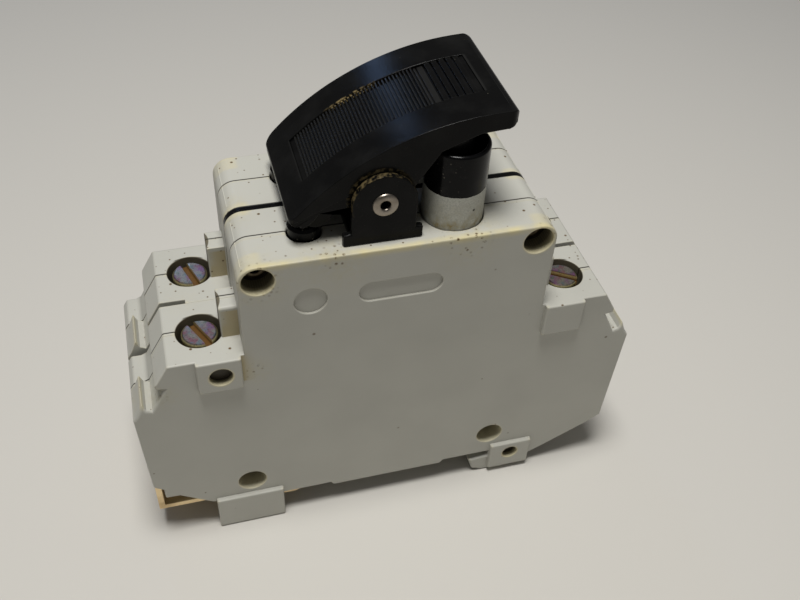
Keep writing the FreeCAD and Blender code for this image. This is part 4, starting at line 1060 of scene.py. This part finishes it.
innerLooks = {  # the first that is in a node's name
    "spring": "spring_steel", "lever_pins": "spring_steel", "lever": "inner_plastic",
    "contact_arm": "copper", "contact": "silver", "_bar": "copper", "bimetal": "bimetal",
    "magnet_coil": "winding", "magnet": "iron", "arc_plates": "iron",
}
remade = ("shell", "rivet", "screw", "rocker", "off_plunger")
for nodeName, node in frame["nodes"].items():
    if nodeName in softEdges or any(part in nodeName for part in remade):
        continue
    look = next(slot for part, slot in innerLooks.items() if part in nodeName)
    node.data.materials.clear()
    node.data.materials.append(looks[look])
print("inner parts dressed")


# Floor, light and camera

# the floor is painted lighter near the object and dimmer farther off, a painted pool of light
floorLook = {"paintedLightPool": (206, 203, 196), "paintedFalloffShade": (186, 185, 182), "half": 1.5}


def makeFloor():
    work = bmesh.new()
    bmesh.ops.create_grid(work, x_segments=1, y_segments=1, size=floorLook["half"])
    floor = linked("floor", work)
    material, tree, shader, coords = startMaterial("floorPaper", 0.9, specular=0.1)
    # painted pool of light round the object
    near = nearPoint(tree, coords, (5, -10, 0), 60, 330)
    colour = mixed(tree, floorLook["paintedFalloffShade"], floorLook["paintedLightPool"], near)
    floor.data.materials.append(endMaterial(material, shader, colour))


def makeLamp(name, place, aim, size, power, colour=(1, 1, 1)):
    data = bpy.data.lights.new(name, "AREA")
    data.shape = "DISK"
    data.size = size
    data.energy = power
    data.color = colour
    lamp = bpy.data.objects.new(name, data)
    lamp.location = place
    lamp.rotation_euler = (Vector(aim) - Vector(place)).to_track_quat("-Z", "Y").to_euler()
    layer.link(lamp)


def makeWorld(strength):
    world = bpy.data.worlds.new("room")
    world.use_nodes = True
    background = world.node_tree.nodes["Background"]
    background.inputs["Color"].default_value = (1.0, 0.99, 0.97, 1)
    background.inputs["Strength"].default_value = strength
    bpy.context.scene.world = world


cameraView = {"place": (-27.52, -96.33, 129.89), "azimuth": 17.94, "elevation": 43.85, "roll": 3.61,
              "lens": 40.78}


def makeCamera():
    view = cameraView
    data = bpy.data.cameras.new("camera")
    data.lens = view["lens"]
    data.sensor_width = 36
    data.clip_start = 0.01
    camera = bpy.data.objects.new("camera", data)
    turn = Matrix.Rotation(math.radians(-view["azimuth"]), 4, "Z")
    turn @= Matrix.Rotation(math.radians(90 - view["elevation"]), 4, "X")
    turn @= Matrix.Rotation(math.radians(view["roll"]), 4, "Z")
    camera.matrix_world = Matrix.Translation(Vector(view["place"]) * mm) @ turn
    layer.link(camera)
    bpy.context.scene.camera = camera


makeFloor()
makeWorld(0.13)
makeLamp("ceiling", (-0.035, -0.05, 0.52), (-0.01, -0.02, 0.03), 0.16, 2.35, (1.0, 0.99, 0.97))
makeLamp("window", (-0.09, 0.52, 0.38), (0, 0, 0.06), 0.07, 0.09, (0.35, 0.56, 1.0))
makeCamera()
bpy.context.scene.view_settings.view_transform = "Standard"
print("stage, light and camera done")
